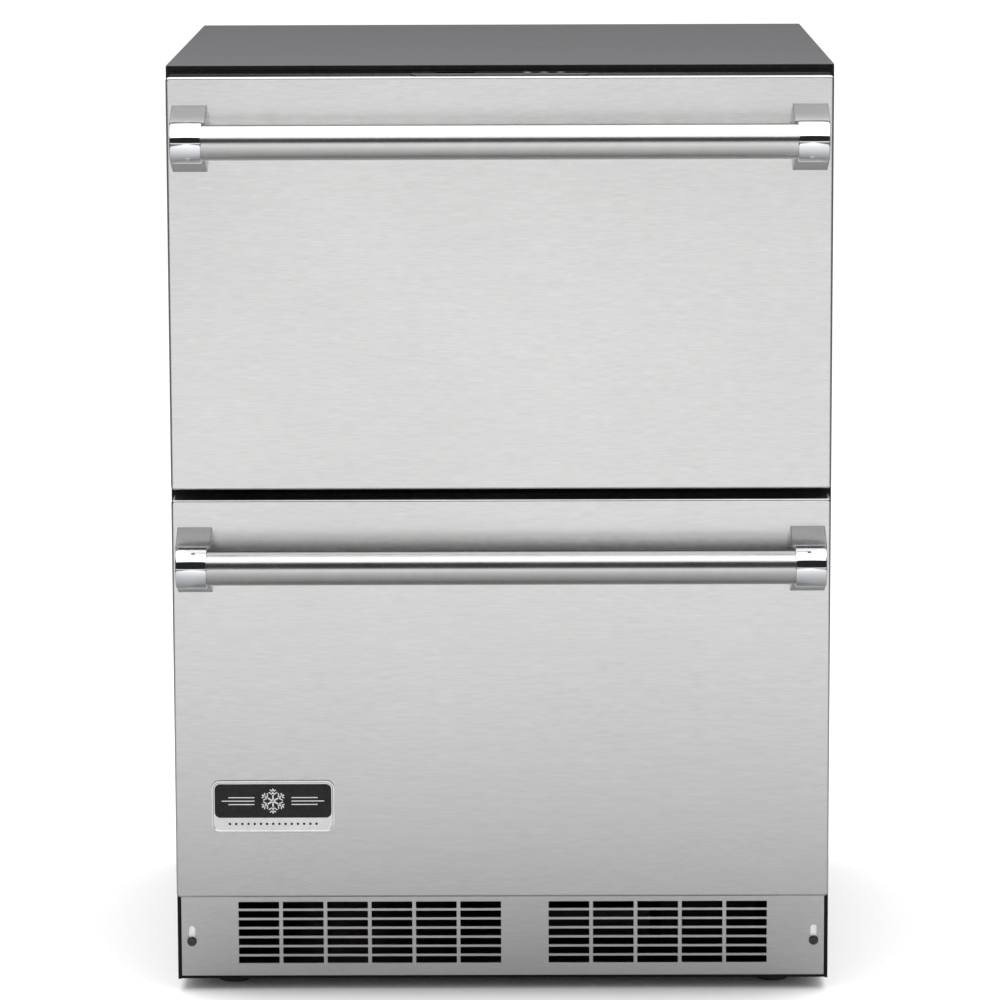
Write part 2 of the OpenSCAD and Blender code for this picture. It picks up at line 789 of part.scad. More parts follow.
module handle_caps(z) {
    color("gainsboro") both_sides() difference() {
        translate([cap_x0, y_bar, z]) rotate([0, 90, 0]) rotate_extrude()
            polygon([[0, 0], [cap_r - 0.6, 0], [cap_r, 0.6], [cap_r, cap_w - 2], [cap_r - 0.6, cap_w - 0.6],
                     [cap_r - 2, cap_w], [0, cap_w]]);
        rod_x(cap_x0 - 1, cap_x0 + cap_bore_d, y_bar, z, bar_r + run_gap);
    }
}

// Tapered arms between the front and the caps
module handle_brackets(z) {
    reach = bar_out - 12;
    tip_h = cap_d - 2;
    color("silver") both_sides() {
        difference() {
            translate([cap_x0 - 2, 0, 0]) rotate([90, 0, 90]) linear_extrude(cap_w + 3.5) polygon([
                [y_face, z - bracket_h / 2], [y_face, z + bracket_h / 2],
                [y_face - reach, z + tip_h / 2], [y_face - reach, z - tip_h / 2]
            ]);
            rod_x(cap_x0 - 3, cap_x1 + 3, y_bar, z, cap_r + cap_groove);
        }
        difference() {
            rod_y((cap_x0 + cap_x1) / 2, y_bar + cap_r - 3, y_face - 5, z, 6);
            rod_x(cap_x0, cap_x1, y_bar, z, cap_r);
        }
    }
}

// -------------------------------------------------------------- slides, bins

// Channel of a slide: a web at web_x and two flanges that reach to flange_x
module channel(web_x, flange_x, half_h, y0, l, z) {
    x0 = min(web_x, flange_x);
    x1 = max(web_x, flange_x);
    web_x1 = web_x + (flange_x < web_x ? -sheet_s : sheet_s);
    span([min(web_x, web_x1), y0, z - half_h], [max(web_x, web_x1), y0 + l, z + half_h]);
    for (side = [0, 1]) {
        low = z - half_h + side * (2 * half_h - sheet_s);
        span([x0, y0, low], [x1, y0 + l, low + sheet_s]);
    }
}

slide_x0 = half_cold - slide_t;
ball_gap = 1.5;

module outer_rail(z) {
    channel(half_cold, slide_x0 + 2, slide_h / 2, slide_y0, rail_l, z);
}

module middle_member(z) {
    channel(half_cold - 4.3, slide_x0 + 2.2, slide_h / 2 - sheet_s - ball_gap, slide_y0 + 2, member_l, z);
}

module inner_member(z) {
    channel(bin_half_w, slide_x0 + slide_t - 7.2, slide_h / 2 - 2 * (sheet_s + ball_gap),
            slide_y0 + 2, member_l, z);
}

module cabinet_rails() {
    color("silver") both_sides() {
        outer_rail(upper_slide_z);
        outer_rail(lower_slide_z);
    }
}

module upper_bin() {
    z0 = upper_bin_z0;
    z1 = upper_rim_z;
    color("lightgray") difference() {
        span([-bin_half_w, bin_y0, z0], [bin_half_w, bin_y1, z1]);
        span([-bin_half_w + bin_t, bin_y0 + bin_t, z0 + bin_t],
             [bin_half_w - bin_t, bin_y1 - bin_t, z1 + 1]);
    }
}

// The lower bin is shallow at the back, where it passes over the machine compartment
module lower_bin() {
    z0 = lower_bin_z0;
    z1 = lower_rim_z;
    color("lightgray") difference() {
        union() {
            span([-bin_half_w, bin_y0, z0], [bin_half_w, lower_bin_step_y, z1]);
            span([-bin_half_w, bin_y0, lower_bin_step_z], [bin_half_w, bin_y1, z1]);
        }
        span([-bin_half_w + bin_t, bin_y0 + bin_t, z0 + bin_t],
             [bin_half_w - bin_t, lower_bin_step_y - bin_t, z1 + 1]);
        span([-bin_half_w + bin_t, bin_y0 + bin_t, lower_bin_step_z + bin_t],
             [bin_half_w - bin_t, bin_y1 - bin_t, z1 + 1]);
    }
}

// Divider that hangs on the front and back rims of a bin
module divider(rim_z) {
    t = divider_t / 2;
    gap = bin_t + part_gap + 0.2;
    rest = rim_z + part_gap;
    color("lightgray") {
        span([-t, bin_y0 + gap, rim_z - divider_h], [t, bin_y1 - gap, rest + 3]);
        for (y = [bin_y0 + 0.4, bin_y1 - gap - 4]) span([-8, y, rest], [8, y + gap + 3.6, rest + 3]);
    }
}

// ------------------------------------------------------------- upper drawer

module upper_front_skin() {
    color("gainsboro") difference() {
        front_skin(upper_z0, upper_z1);
        translate([0, module_y, upper_z1])
            cube([pocket_w + 2 * part_gap, pocket_d + 2 * part_gap, 4 * skin_t], center = true);
    }
}

module upper_front_foam() {
    color("khaki") difference() {
        front_foam(upper_z0, upper_z1);
        translate([0, module_y, upper_z1]) cube(
            [pocket_w + 2 * part_gap, pocket_d + 2 * part_gap, 2 * (pocket_h + part_gap)], center = true);
    }
}

module upper_front_liner() {
    front_liner(upper_z0, upper_z1, mullion_z1, cold_z1);
}

module upper_gasket() {
    gasket(mullion_z1, cold_z1);
}

module upper_handle_bar() {
    handle_bar(upper_z1 - bar_drop);
}

module upper_handle_brackets() {
    handle_brackets(upper_z1 - bar_drop);
}

module upper_handle_caps() {
    handle_caps(upper_z1 - bar_drop);
}

module upper_inner_members() {
    color("silver") both_sides() inner_member(upper_slide_z);
}

module upper_middle_members() {
    color("silver") both_sides() middle_member(upper_slide_z);
}

module upper_divider() {
    divider(upper_rim_z);
}

module control_module() {
    z1 = upper_z1 + module_h;
    color("black") difference() {
        union() {
            translate([0, module_y, upper_z1]) linear_extrude(module_h) round_rect(module_w, module_d, 5);
            translate([-pocket_w / 2, module_y - pocket_d / 2, upper_z1 - pocket_h])
                cube([pocket_w, pocket_d, pocket_h + module_h / 2]);
        }
        for (x = key_xs) translate([keys_x + x, module_y, z1 - 4]) cylinder(h = 5, r = key_r + part_gap);
        translate([-keys_x, module_y, z1]) cube([window_w + fit, window_d + fit, 1.2], center = true);
    }
}

module display_window() {
    color("darkslategray") translate([-keys_x, module_y, upper_z1 + module_h - 0.3])
        cube([window_w, window_d, 0.6], center = true);
}

// Key with a body in the module and a top that stands proud of it
module key(x) {
    color("dimgray") translate([keys_x + x, module_y, upper_z1 + module_h - 3]) cylinder(h = 3.7, r = key_r);
}

module power_key() {
    key(key_xs[0]);
}

module warmer_key() {
    key(key_xs[1]);
}

module colder_key() {
    key(key_xs[2]);
}

// ------------------------------------------------------------- lower drawer

module lower_front_skin() {
    color("gainsboro") front_skin(lower_z0, lower_z1);
}

module lower_front_foam() {
    color("khaki") front_foam(lower_z0, lower_z1);
}

module lower_front_liner() {
    front_liner(lower_z0, lower_z1, cold_z0, mullion_z0);
}

module lower_gasket() {
    gasket(cold_z0, mullion_z0);
}

module lower_handle_bar() {
    handle_bar(lower_z1 - bar_drop);
}

module lower_handle_brackets() {
    handle_brackets(lower_z1 - bar_drop);
}

module lower_handle_caps() {
    handle_caps(lower_z1 - bar_drop);
}

module lower_inner_members() {
    color("silver") both_sides() inner_member(lower_slide_z);
}

module lower_middle_members() {
    color("silver") both_sides() middle_member(lower_slide_z);
}

module lower_divider() {
    divider(lower_rim_z);
}

module badge() {
    badge_left = 33; // from the front's left edge
    badge_low = 61.6; // from the front's lower edge
    color("black") upright(y_face - badge_t, badge_t)
        translate([badge_left + badge_w / 2 - front_w / 2, lower_z0 + badge_low + badge_h / 2])
            round_rect(badge_w, badge_h, 8);
}

top_panel();
left_side_panel();
right_side_panel();
back_panel();
rear_cover();
base_pan();
insulation_foam();
inner_liner();
front_frame();
cabinet_rails();
light_bar();
evaporator_coil();
evaporator_cover();
evaporator_fan_motor();
evaporator_fan();
compressor();
condenser_coil();
condenser_shroud();
condenser_fan_motor();
condenser_fan();
refrigerant_tubing();
filter_drier();
drain_tray();
control_box();
power_inlet();
air_baffle();
kick_plate();
kick_plate_screws();
front_left_leg();
front_right_leg();
rear_left_leg();
rear_right_leg();
upper_front_skin();
upper_front_foam();
upper_front_liner();
upper_gasket();
upper_handle_bar();
upper_handle_brackets();
upper_handle_caps();
upper_bin();
upper_inner_members();
upper_middle_members();
upper_divider();
control_module();
display_window();
power_key();
warmer_key();
colder_key();
lower_front_skin();
lower_front_foam();
lower_front_liner();
lower_gasket();
lower_handle_bar();
lower_handle_brackets();
lower_handle_caps();
lower_bin();
lower_inner_members();
lower_middle_members();
lower_divider();
badge();
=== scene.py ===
"""Looks of a two-drawer under counter refrigerator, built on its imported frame."""
from math import atan2, copysign, cos, pi, radians, sin, tau

import bmesh
import bpy
from mathutils import Matrix, Vector


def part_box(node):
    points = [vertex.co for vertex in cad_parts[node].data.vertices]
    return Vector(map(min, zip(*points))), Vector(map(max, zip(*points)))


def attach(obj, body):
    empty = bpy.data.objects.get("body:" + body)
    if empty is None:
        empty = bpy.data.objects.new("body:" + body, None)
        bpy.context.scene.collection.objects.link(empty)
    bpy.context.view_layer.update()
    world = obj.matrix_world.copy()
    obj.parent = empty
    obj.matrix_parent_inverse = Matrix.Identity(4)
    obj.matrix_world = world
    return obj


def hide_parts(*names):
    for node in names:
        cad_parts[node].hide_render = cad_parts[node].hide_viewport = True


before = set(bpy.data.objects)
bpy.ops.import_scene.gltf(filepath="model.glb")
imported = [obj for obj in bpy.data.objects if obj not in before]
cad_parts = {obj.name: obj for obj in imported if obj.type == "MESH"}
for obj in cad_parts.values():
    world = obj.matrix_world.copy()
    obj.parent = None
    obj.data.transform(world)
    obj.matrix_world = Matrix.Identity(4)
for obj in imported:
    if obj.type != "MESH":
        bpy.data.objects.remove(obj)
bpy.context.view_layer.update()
MM = 0.001
SAME = 1e-6  # metres within which two levels are one


# ---- bmesh helpers

def block(bm, lo, hi):
    size = hi - lo
    place = Matrix.Translation((lo + hi) / 2) @ Matrix.Diagonal((size.x, size.y, size.z, 1))
    return bmesh.ops.create_cube(bm, size=1, matrix=place)["verts"]


def edges_of(verts):
    return list(dict.fromkeys(edge for vert in verts for edge in vert.link_edges))


def edges_along(edges, axis):
    """Those edges that run along one axis."""
    chosen = []
    for edge in edges:
        run = edge.verts[1].co - edge.verts[0].co
        if abs(abs(run[axis]) - run.length) < SAME:
            chosen.append(edge)
    return chosen


def lying_on(parts, axis, level):
    """Those edges or faces that lie in the plane at a level on one axis."""
    return [part for part in parts if all(abs(v.co[axis] - level) < SAME for v in part.verts)]


def face_outwards(bm):
    bmesh.ops.recalc_face_normals(bm, faces=bm.faces[:])


def thicken(bm, thickness):
    bmesh.ops.solidify(bm, geom=bm.faces[:], thickness=thickness)


def remove(bm, faces):
    bmesh.ops.delete(bm, geom=faces, context="FACES")


def new_verts(made):
    """The vertices among what an operator made."""
    return [part for part in made if isinstance(part, bmesh.types.BMVert)]


def new_edges(made, verts):
    """The edges among what an operator made that join these vertices."""
    return [part for part in made if isinstance(part, bmesh.types.BMEdge)
            and part.verts[0] in verts and part.verts[1] in verts]


def sharp_edges(edges):
    """Those edges where two faces meet at a steep angle."""
    return [edge for edge in edges if edge.calc_face_angle(0) > 1.2]


def soften(bm, edges, radius, segments=3):
    bmesh.ops.bevel(bm, geom=edges, offset=radius, segments=segments, profile=0.5,
                    affect="EDGES", clamp_overlap=True, material=-1)


def soft_block(bm, lo, hi, radius, segments=2):
    soften(bm, edges_of(block(bm, lo, hi)), radius, segments)


def rounded_block(bm, lo, hi, axis, radius, segments):
    """A block whose edges along one axis are rounded."""
    soften(bm, edges_along(edges_of(block(bm, lo, hi)), axis), radius, segments)


def lathe(bm, outline, origin, axis, sides=48):
    """Turns an outline of (distance along the axis, radius) pairs round the axis."""
    origin, axis = Vector(origin), Vector(axis)
    across = axis.orthogonal().normalized()
    verts = [bm.verts.new(origin + axis * along + across * radius) for along, radius in outline]
    edges = [bm.edges.new(pair) for pair in zip(verts, verts[1:])]
    bmesh.ops.spin(bm, geom=verts + edges, cent=origin, axis=axis, dvec=(0, 0, 0),
                   angle=tau, steps=sides, use_merge=True)
    bmesh.ops.remove_doubles(bm, verts=bm.verts[:], dist=1e-7)


def rod(bm, start, end, radius, sides=24, radius_end=None):
    run = end - start
    turn = run.to_track_quat("Z", "Y").to_matrix().to_4x4()
    bmesh.ops.create_cone(bm, cap_ends=True, segments=sides, radius1=radius,
                          radius2=radius if radius_end is None else radius_end,
                          depth=run.length, matrix=Matrix.Translation((start + end) / 2) @ turn)


def drawn_out(bm, outline, run):
    """A closed solid from the corners of its end face, drawn out along a vector."""
    verts = [bm.verts.new(corner) for corner in outline]
    made = bmesh.ops.extrude_face_region(bm, geom=[bm.faces.new(verts)])["geom"]
    moved = new_verts(made)
    bmesh.ops.translate(bm, verts=moved, vec=run)
    return verts + moved


def upright_sheet(bm, lo, hi, y):
    """One flat face, upright across the appliance."""
    bm.faces.new([bm.verts.new((x, y, z)) for x, z in
                  ((lo.x, lo.z), (hi.x, lo.z), (hi.x, hi.z), (lo.x, hi.z))])


def within(value, spans):
    return any(low < value < high for low, high in spans)


def cut_openings(bm, groups):
    """Cuts rectangles out of an upright sheet: each x span of a group by each z span of it."""
    for number, square in ((0, Vector((1, 0, 0))), (1, Vector((0, 0, 1)))):
        for place in [end for group in groups for span in group[number] for end in span]:
            bmesh.ops.bisect_plane(bm, geom=bm.verts[:] + bm.edges[:] + bm.faces[:],
                                   plane_co=square * place, plane_no=square)
    middles = {face: face.calc_center_median() for face in bm.faces}
    remove(bm, [face for face, middle in middles.items()
                if any(within(middle.x, across) and within(middle.z, up) for across, up in groups)])


def mirrored(bm):
    """Adds the mirror image across the middle of the appliance."""
    copy = bmesh.ops.duplicate(bm, geom=bm.verts[:] + bm.edges[:] + bm.faces[:])["geom"]
    bmesh.ops.scale(bm, verts=new_verts(copy), vec=(-1, 1, 1))


def second_finish(bm, first_face):
    """Gives the second finish to the faces made from here on."""
    bm.faces.ensure_lookup_table()
    for face in bm.faces[first_face:]:
        face.material_index = 1


def in_scene(name, data):
    made = bpy.data.objects.new(name, data)
    bpy.context.scene.collection.objects.link(made)
    return made


def piece(name, bm, body, slot, finishes, stands_for=(), crease=32, weighted=True):
    """Makes an object of the mesh, with its body, its finish and the nodes that it stands for."""
    face_outwards(bm)
    mesh = bpy.data.meshes.new(name)
    bm.to_mesh(mesh)
    bm.free()
    for finish in finishes if isinstance(finishes, list) else [finishes]:
        mesh.materials.append(finish)
    mesh.shade_smooth()
    mesh.set_sharp_from_angle(angle=radians(crease))
    made = in_scene(name, mesh)
    if weighted:
        made.modifiers.new("flat faces", "WEIGHTED_NORMAL").keep_sharp = True
    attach(made, body)
    if stands_for:
        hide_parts(*stands_for)


def stand_in(node_name, bm, body, slot, finishes, **how):
    """A piece that stands for one node and takes its name."""
    piece(node_name.capitalize(), bm, body, slot, finishes, [node_name], **how)


# ---- materials

NOISE_LOW, NOISE_HIGH = 0.3, 0.7  # noise seldom goes past these


def feed(tree, socket, value):
    """Links a socket or sets its value. One number on a colour socket is a grey."""
    if isinstance(value, bpy.types.NodeSocket):
        tree.links.new(value, socket)
    elif socket.type == "RGBA":
        socket.default_value = (*value, 1) if isinstance(value, tuple) else (value,) * 3 + (1,)
    else:
        socket.default_value = value


def math_node(tree, operation, *values):
    node = tree.nodes.new("ShaderNodeMath")
    node.operation = operation
    for socket, value in zip(node.inputs, values):
        feed(tree, socket, value)
    return node.outputs[0]


def noise(tree, vector, scale, detail, roughness):
    node = tree.nodes.new("ShaderNodeTexNoise")
    for label, value in (("Vector", vector), ("Scale", scale), ("Detail", detail),
                         ("Roughness", roughness)):
        feed(tree, node.inputs[label], value)
    return node.outputs["Fac"]


def ranged(tree, value, start, end, low=0.0, high=1.0):
    """Maps a value between start and end onto low to high."""
    node = tree.nodes.new("ShaderNodeMapRange")
    for label, limit in (("Value", value), ("From Min", start), ("From Max", end),
                         ("To Min", low), ("To Max", high)):
        feed(tree, node.inputs[label], limit)
    return node.outputs["Result"]


def blended(tree, factor, first, second):
    """Colour between two colours by a factor."""
    node = tree.nodes.new("ShaderNodeMix")
    node.data_type = "RGBA"
    for number, value in ((0, factor), (6, first), (7, second)):
        feed(tree, node.inputs[number], value)
    return node.outputs[2]


def new_group(name, inputs, outputs):
    group = bpy.data.node_groups.new(name, "ShaderNodeTree")
    inputs = {"Vector": ("NodeSocketVector", (0, 0, 0)), **inputs}
    for label, (kind, value) in inputs.items():
        socket = group.interface.new_socket(label, in_out="INPUT", socket_type=kind)
        socket.default_value = value
    for label in outputs:
        group.interface.new_socket(label, in_out="OUTPUT", socket_type="NodeSocketFloat")
    given = group.nodes.new("NodeGroupInput").outputs
    return group, given, group.nodes.new("NodeGroupOutput").inputs


def brushed_grain_group():
    """Fine lines of brushing, longer and shorter ones on top of each other."""
    group, given, made = new_group(
        "brushed grain", {"Stretch": ("NodeSocketVector", (4, 900, 900))}, ["Lines", "Streaks"])
    stretched = group.nodes.new("ShaderNodeVectorMath")
    stretched.operation = "MULTIPLY"
    feed(group, stretched.inputs[0], given["Vector"])
    feed(group, stretched.inputs[1], given["Stretch"])
    wide = group.nodes.new("ShaderNodeVectorMath")
    wide.operation = "SCALE"
    feed(group, wide.inputs["Scale"], 0.22)
    feed(group, wide.inputs[0], stretched.outputs[0])
    feed(group, made["Lines"], noise(group, stretched.outputs[0], 1.0, 3.0, 0.6))
    feed(group, made["Streaks"], noise(group, wide.outputs[0], 1.0, 2.0, 0.5))
    return group


def handling_group():
    """Slow changes of gloss, as left by wiping and handling."""
    number = "NodeSocketFloat"
    group, given, made = new_group(
        "handling marks",
        {"Scale": (number, 6.0), "Glossiest": (number, 0.3), "Dullest": (number, 0.4)},
        ["Roughness"])
    clouds = noise(group, given["Vector"], given["Scale"], 4.0, 0.55)
    feed(group, made["Roughness"], ranged(group, clouds, NOISE_LOW, NOISE_HIGH,
                                          given["Glossiest"], given["Dullest"]))
    return group


def grit_group():
    """Fine raised texture of paint or moulded plastic."""
    group, given, made = new_group("grit", {"Scale": ("NodeSocketFloat", 900.0)},
                                   ["Height", "Mottle"])
    bumps = noise(group, given["Vector"], given["Scale"], 2.0, 0.55)
    sparse = math_node(group, "MULTIPLY", given["Scale"], 0.21)
    mottle = noise(group, given["Vector"], sparse, 3.0, 0.6)
    feed(group, made["Height"],
         math_node(group, "ADD", bumps, math_node(group, "MULTIPLY", mottle, 0.4)))
    feed(group, made["Mottle"], mottle)
    return group


BRUSHED_GRAIN = brushed_grain_group()
HANDLING = handling_group()
GRIT = grit_group()


class Finish:
    """A material with one Principled shader and Object coordinates to build on."""

    def __init__(self, name, **settings):
        self.material = bpy.data.materials.new(name)
        self.material.use_nodes = True
        self.tree = self.material.node_tree
        self.tree.nodes.clear()
        output = self.tree.nodes.new("ShaderNodeOutputMaterial")
        self.shader = self.tree.nodes.new("ShaderNodeBsdfPrincipled")
        self.tree.links.new(self.shader.outputs["BSDF"], output.inputs["Surface"])
        self.place = self.tree.nodes.new("ShaderNodeTexCoord").outputs["Object"]
        for label, value in settings.items():
            feed(self.tree, self.shader.inputs[label.replace("_", " ")], value)

    def use(self, group, **settings):
        node = self.tree.nodes.new("ShaderNodeGroup")
        node.node_tree = group
        for label, value in {"Vector": self.place, **settings}.items():
            feed(self.tree, node.inputs[label], value)
        return node.outputs

    def colour(self, mask, low, high):
        """Base colour between two tones by a mask."""
        factor = ranged(self.tree, mask, NOISE_LOW, NOISE_HIGH)
        feed(self.tree, self.shader.inputs["Base Color"], blended(self.tree, factor, low, high))

    def bump(self, height, depth):
        node = self.tree.nodes.new("ShaderNodeBump")
        feed(self.tree, node.inputs["Distance"], depth)
        feed(self.tree, node.inputs["Height"], height)
        feed(self.tree, self.shader.inputs["Normal"], node.outputs["Normal"])

    def roughness(self, glossiest, dullest, scale=6.0):
        marks = self.use(HANDLING, Scale=scale, Glossiest=glossiest, Dullest=dullest)
        feed(self.tree, self.shader.inputs["Roughness"], marks["Roughness"])


def brushed_metal(name, low, high, glossiest, dullest):
    """Metal brushed across the appliance."""
    finish = Finish(name, Metallic=1.0, Anisotropic=0.7, Anisotropic_Rotation=0.25)
    grain = finish.use(BRUSHED_GRAIN, Stretch=(70, 900, 900))
    streaks = math_node(finish.tree, "MULTIPLY", grain["Streaks"], 0.2)
    finish.colour(math_node(finish.tree, "MULTIPLY_ADD", grain["Lines"], 0.8, streaks), low, high)
    finish.roughness(glossiest, dullest, 4.0)
    finish.bump(grain["Lines"], 0.0000012)
    return finish.material


def gritty(name, low, high, glossiest, dullest, grit_scale, depth, marks_scale=6.0, **settings):
    finish = Finish(name, **settings)
    grit = finish.use(GRIT, Scale=grit_scale)
    finish.colour(grit["Mottle"], low, high)
    finish.roughness(glossiest, dullest, marks_scale)
    finish.bump(grit["Height"], depth)
    return finish.material


def painted(*values, coat=0.0, **settings):
    return gritty(*values, Coat_Weight=coat, **settings)


def bright_metal(*values):
    return gritty(*values, 300.0, 0.0000004, 14.0, Metallic=1.0)


def clear_material(name, tint, glossiest, dullest, transmission):
    darker = tuple(0.97 * part for part in tint)
    return gritty(name, darker, tint, glossiest, dullest, 300.0, 0.000002,
                  Transmission_Weight=transmission, IOR=1.49)


STAINLESS = brushed_metal("brushed stainless", (0.550, 0.550, 0.547), (0.655, 0.655, 0.652),
    0.17, 0.20)
# the fronts' brushed stainless with raised tones: painted light on the kick plate
PLATE_STEEL_LIGHTENED = brushed_metal("kick plate stainless, painted light", (0.71, 0.71, 0.707), (0.81, 0.81, 0.807),
    0.30, 0.35)
# the bar's stainless with lowered tones: painted shade on the brackets
BRACKET_STEEL_SHADED = brushed_metal("satin bracket, painted shade", (0.30, 0.30, 0.305), (0.36, 0.36, 0.365),
    0.20, 0.26)
BAR_STEEL = bright_metal("polished handle bar", (0.51, 0.51, 0.505), (0.55, 0.55, 0.545),
    0.20, 0.23)
CHROME = bright_metal("chrome", (0.74, 0.755, 0.78), (0.79, 0.805, 0.83), 0.05, 0.08)
GALVANISED = bright_metal("galvanised sheet", (0.52, 0.53, 0.54), (0.60, 0.61, 0.62), 0.34, 0.46)
COIL_ALUMINIUM = bright_metal("coil aluminium", (0.62, 0.63, 0.64), (0.74, 0.75, 0.76),
    0.28, 0.42)
COPPER = bright_metal("copper pipe", (0.62, 0.30, 0.18), (0.78, 0.42, 0.28), 0.20, 0.36)
ZINC = bright_metal("zinc screw", (0.45, 0.45, 0.46), (0.58, 0.58, 0.59), 0.24, 0.36)
DARK_SCREW = bright_metal("dark screw", 0.10, 0.16, 0.26, 0.38)
BADGE_SILVER = bright_metal("badge silver", (0.74, 0.74, 0.75), (0.82, 0.82, 0.83), 0.16, 0.24)
BLACK_ENAMEL = painted("black enamel", 0.004, 0.007, 0.30, 0.38, 700.0, 0.000006,
    Specular_IOR_Level=0.15)
# dark grey where the sides are black enamel: partly the paint's own tone, partly painted sheen of
# light grazing the top
TOP_PAINT_AND_SHEEN = painted("textured top paint and painted sheen", (0.052, 0.052, 0.055), (0.072, 0.072, 0.076),
    0.42, 0.50, 1300.0, 0.00003, Specular_IOR_Level=0.4)
WHITE_LINER = painted("white liner", (0.78, 0.79, 0.79), (0.84, 0.85, 0.85),
    0.26, 0.34, 500.0, 0.000004)
FOAM = painted("insulation foam", (0.62, 0.50, 0.24), (0.74, 0.62, 0.34),
    0.80, 0.92, 350.0, 0.0004)
RUBBER = painted("gasket rubber", (0.020, 0.020, 0.021), (0.034, 0.034, 0.035),
    0.50, 0.62, 900.0, 0.00001)
BIN_PLASTIC = painted("bin plastic", (0.66, 0.68, 0.69), (0.69, 0.71, 0.72),
    0.28, 0.36, 500.0, 0.000002,
    Subsurface_Weight=0.1, Subsurface_Scale=0.002)
BLACK_PLASTIC = painted("black plastic", (0.012, 0.012, 0.013), (0.022, 0.022, 0.024),
    0.38, 0.50, 1500.0, 0.00001)
COMPRESSOR_BLACK = painted("compressor enamel", (0.008, 0.008, 0.009), (0.016, 0.016, 0.018),
    0.30, 0.42, 300.0, 0.00002, Specular_IOR_Level=0.15)
CONTROL_BLACK = painted("control black", (0.014, 0.015, 0.017), (0.022, 0.023, 0.026),
    0.12, 0.18, 500.0, 0.000002, coat=1.0)
KEY_GREY = painted("key grey", (0.030, 0.030, 0.032), (0.042, 0.042, 0.045),
    0.35, 0.45, 1400.0, 0.000006)
BADGE_BLACK = painted("badge black", 0.010, 0.016, 0.30, 0.38, 900.0, 0.000002,
    Specular_IOR_Level=0.15)
# pale grey tab: a painted highlight for the light the tab catches behind the slots
TAB_PAINTED_HIGHLIGHT = painted("tab painted highlight", 0.66, 0.74, 0.40, 0.55, 900.0, 0.000002)
MARK_WHITE = painted("key mark", (0.40, 0.41, 0.42), (0.48, 0.49, 0.50),
    0.40, 0.50, 900.0, 0.000002)
FIGURE_GLOW = painted("display figures", (0.30, 0.55, 0.80), (0.40, 0.65, 0.90),
    0.40, 0.50, 900.0, 0.000002,
    Emission_Color=(0.35, 0.7, 1.0), Emission_Strength=0.8)
DIFFUSER = painted("light diffuser", (0.80, 0.82, 0.84), (0.88, 0.89, 0.90),
    0.30, 0.40, 900.0, 0.00001)
CLEAR_PLASTIC = clear_material("clear plastic", (0.93, 0.96, 0.97), 0.05, 0.10, 0.92)
DISPLAY_GLASS = clear_material("display glass", (0.03, 0.04, 0.045), 0.04, 0.08, 0.2)

# nodes that keep their own shape, by finish
kept_nodes = (
    (BLACK_ENAMEL, ["base_pan", "front_frame", "control_box", "air_baffle"]),
    (FOAM, ["insulation_foam", "upper_front_foam", "lower_front_foam"]),
    (WHITE_LINER, ["inner_liner", "evaporator_cover"]),
    (ZINC, ["cabinet_rails"]),
    (DIFFUSER, ["light_bar"]),
    (COIL_ALUMINIUM, ["evaporator_coil", "condenser_coil"]),
    (BLACK_PLASTIC, ["evaporator_fan_motor", "evaporator_fan", "condenser_fan_motor",
                     "condenser_fan", "drain_tray"]),
    (COMPRESSOR_BLACK, ["compressor"]),
    (GALVANISED, ["condenser_shroud"]),
    (COPPER, ["refrigerant_tubing", "filter_drier"]),
)
for finish, node_names in kept_nodes:
    for node_name in node_names:
        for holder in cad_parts[node_name].material_slots:
            holder.material = finish


# ---- cabinet

SHEET = 1.5 * MM
LIP = 5.0 * MM
HEM_W = 3.0 * MM
HEM_D = 12.0 * MM


def top_panel():
    lo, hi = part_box("top_panel")
    bm = bmesh.new()
    soft_block(bm, Vector((lo.x, lo.y, hi.z - SHEET)), hi, 0.6 * MM)
    lip_half = hi.x - HEM_W - 0.3 * MM
    soft_block(bm, Vector((-lip_half, lo.y, hi.z - LIP)),
               Vector((lip_half, lo.y + SHEET, hi.z - 0.7 * MM)), 0.3 * MM)
    for face in bm.faces:
        centre = face.calc_center_median()
        if centre.y < lo.y + SHEET + 0.1 * MM and centre.z < hi.z - 0.5 * MM:
            face.material_index = 1
    stand_in("top_panel", bm, "cabinet", "textured_grey_paint", [TOP_PAINT_AND_SHEEN, BLACK_ENAMEL])


def side_panels():
    for side, node_name in ((-1, "left_side_panel"), (1, "right_side_panel")):
        lo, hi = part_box(node_name)
        outer = side * max(abs(lo.x), abs(hi.x))
        inner, hem = outer - side * SHEET, outer - side * HEM_W
        bm = bmesh.new()
        corners = [(outer, lo.y), (outer, hi.y), (inner, hi.y), (inner, lo.y + HEM_D),
                   (hem, lo.y + HEM_D), (hem, lo.y)]
        verts = drawn_out(bm, [Vector((x, y, lo.z)) for x, y in corners],
                          Vector((0, 0, hi.z - lo.z)))
        soften(bm, edges_along(edges_of(verts), 2), 0.5 * MM)
        stand_in(node_name, bm, "cabinet", "black_enamel", BLACK_ENAMEL)


top_panel()
side_panels()


# ---- drawer fronts

SKIN = 1.2 * MM
CAP_L = 28 * MM
ARM_W = 31.5 * MM
TIP_BACK = 12 * MM  # from the bar's middle to the bracket's tip


def front_skin(key, body):
    lo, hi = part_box(f"{key}_front_skin")
    bm = bmesh.new()
    rounded_block(bm, lo, hi, 1, 3.5 * MM, 5)
    remove(bm, lying_on(bm.faces, 1, hi.y))
    soften(bm, lying_on(bm.edges, 1, lo.y), 2.2 * MM, 4)
    face_outwards(bm)
    thicken(bm, SKIN)
    stand_in(f"{key}_front_skin", bm, body, "brushed_stainless", STAINLESS)


def handle_bar(key, body, middle, bar_r):
    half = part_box(f"{key}_handle_bar")[1].x
    bm = bmesh.new()
    lathe(bm, [(-half, bar_r - 2 * MM), (-half, bar_r), (half, bar_r), (half, bar_r - 2 * MM),
               (-half, bar_r - 2 * MM)], (0, middle.y, middle.z), (1, 0, 0), 96)
    stand_in(f"{key}_handle_bar", bm, body, "polished_stainless", BAR_STEEL, weighted=False)


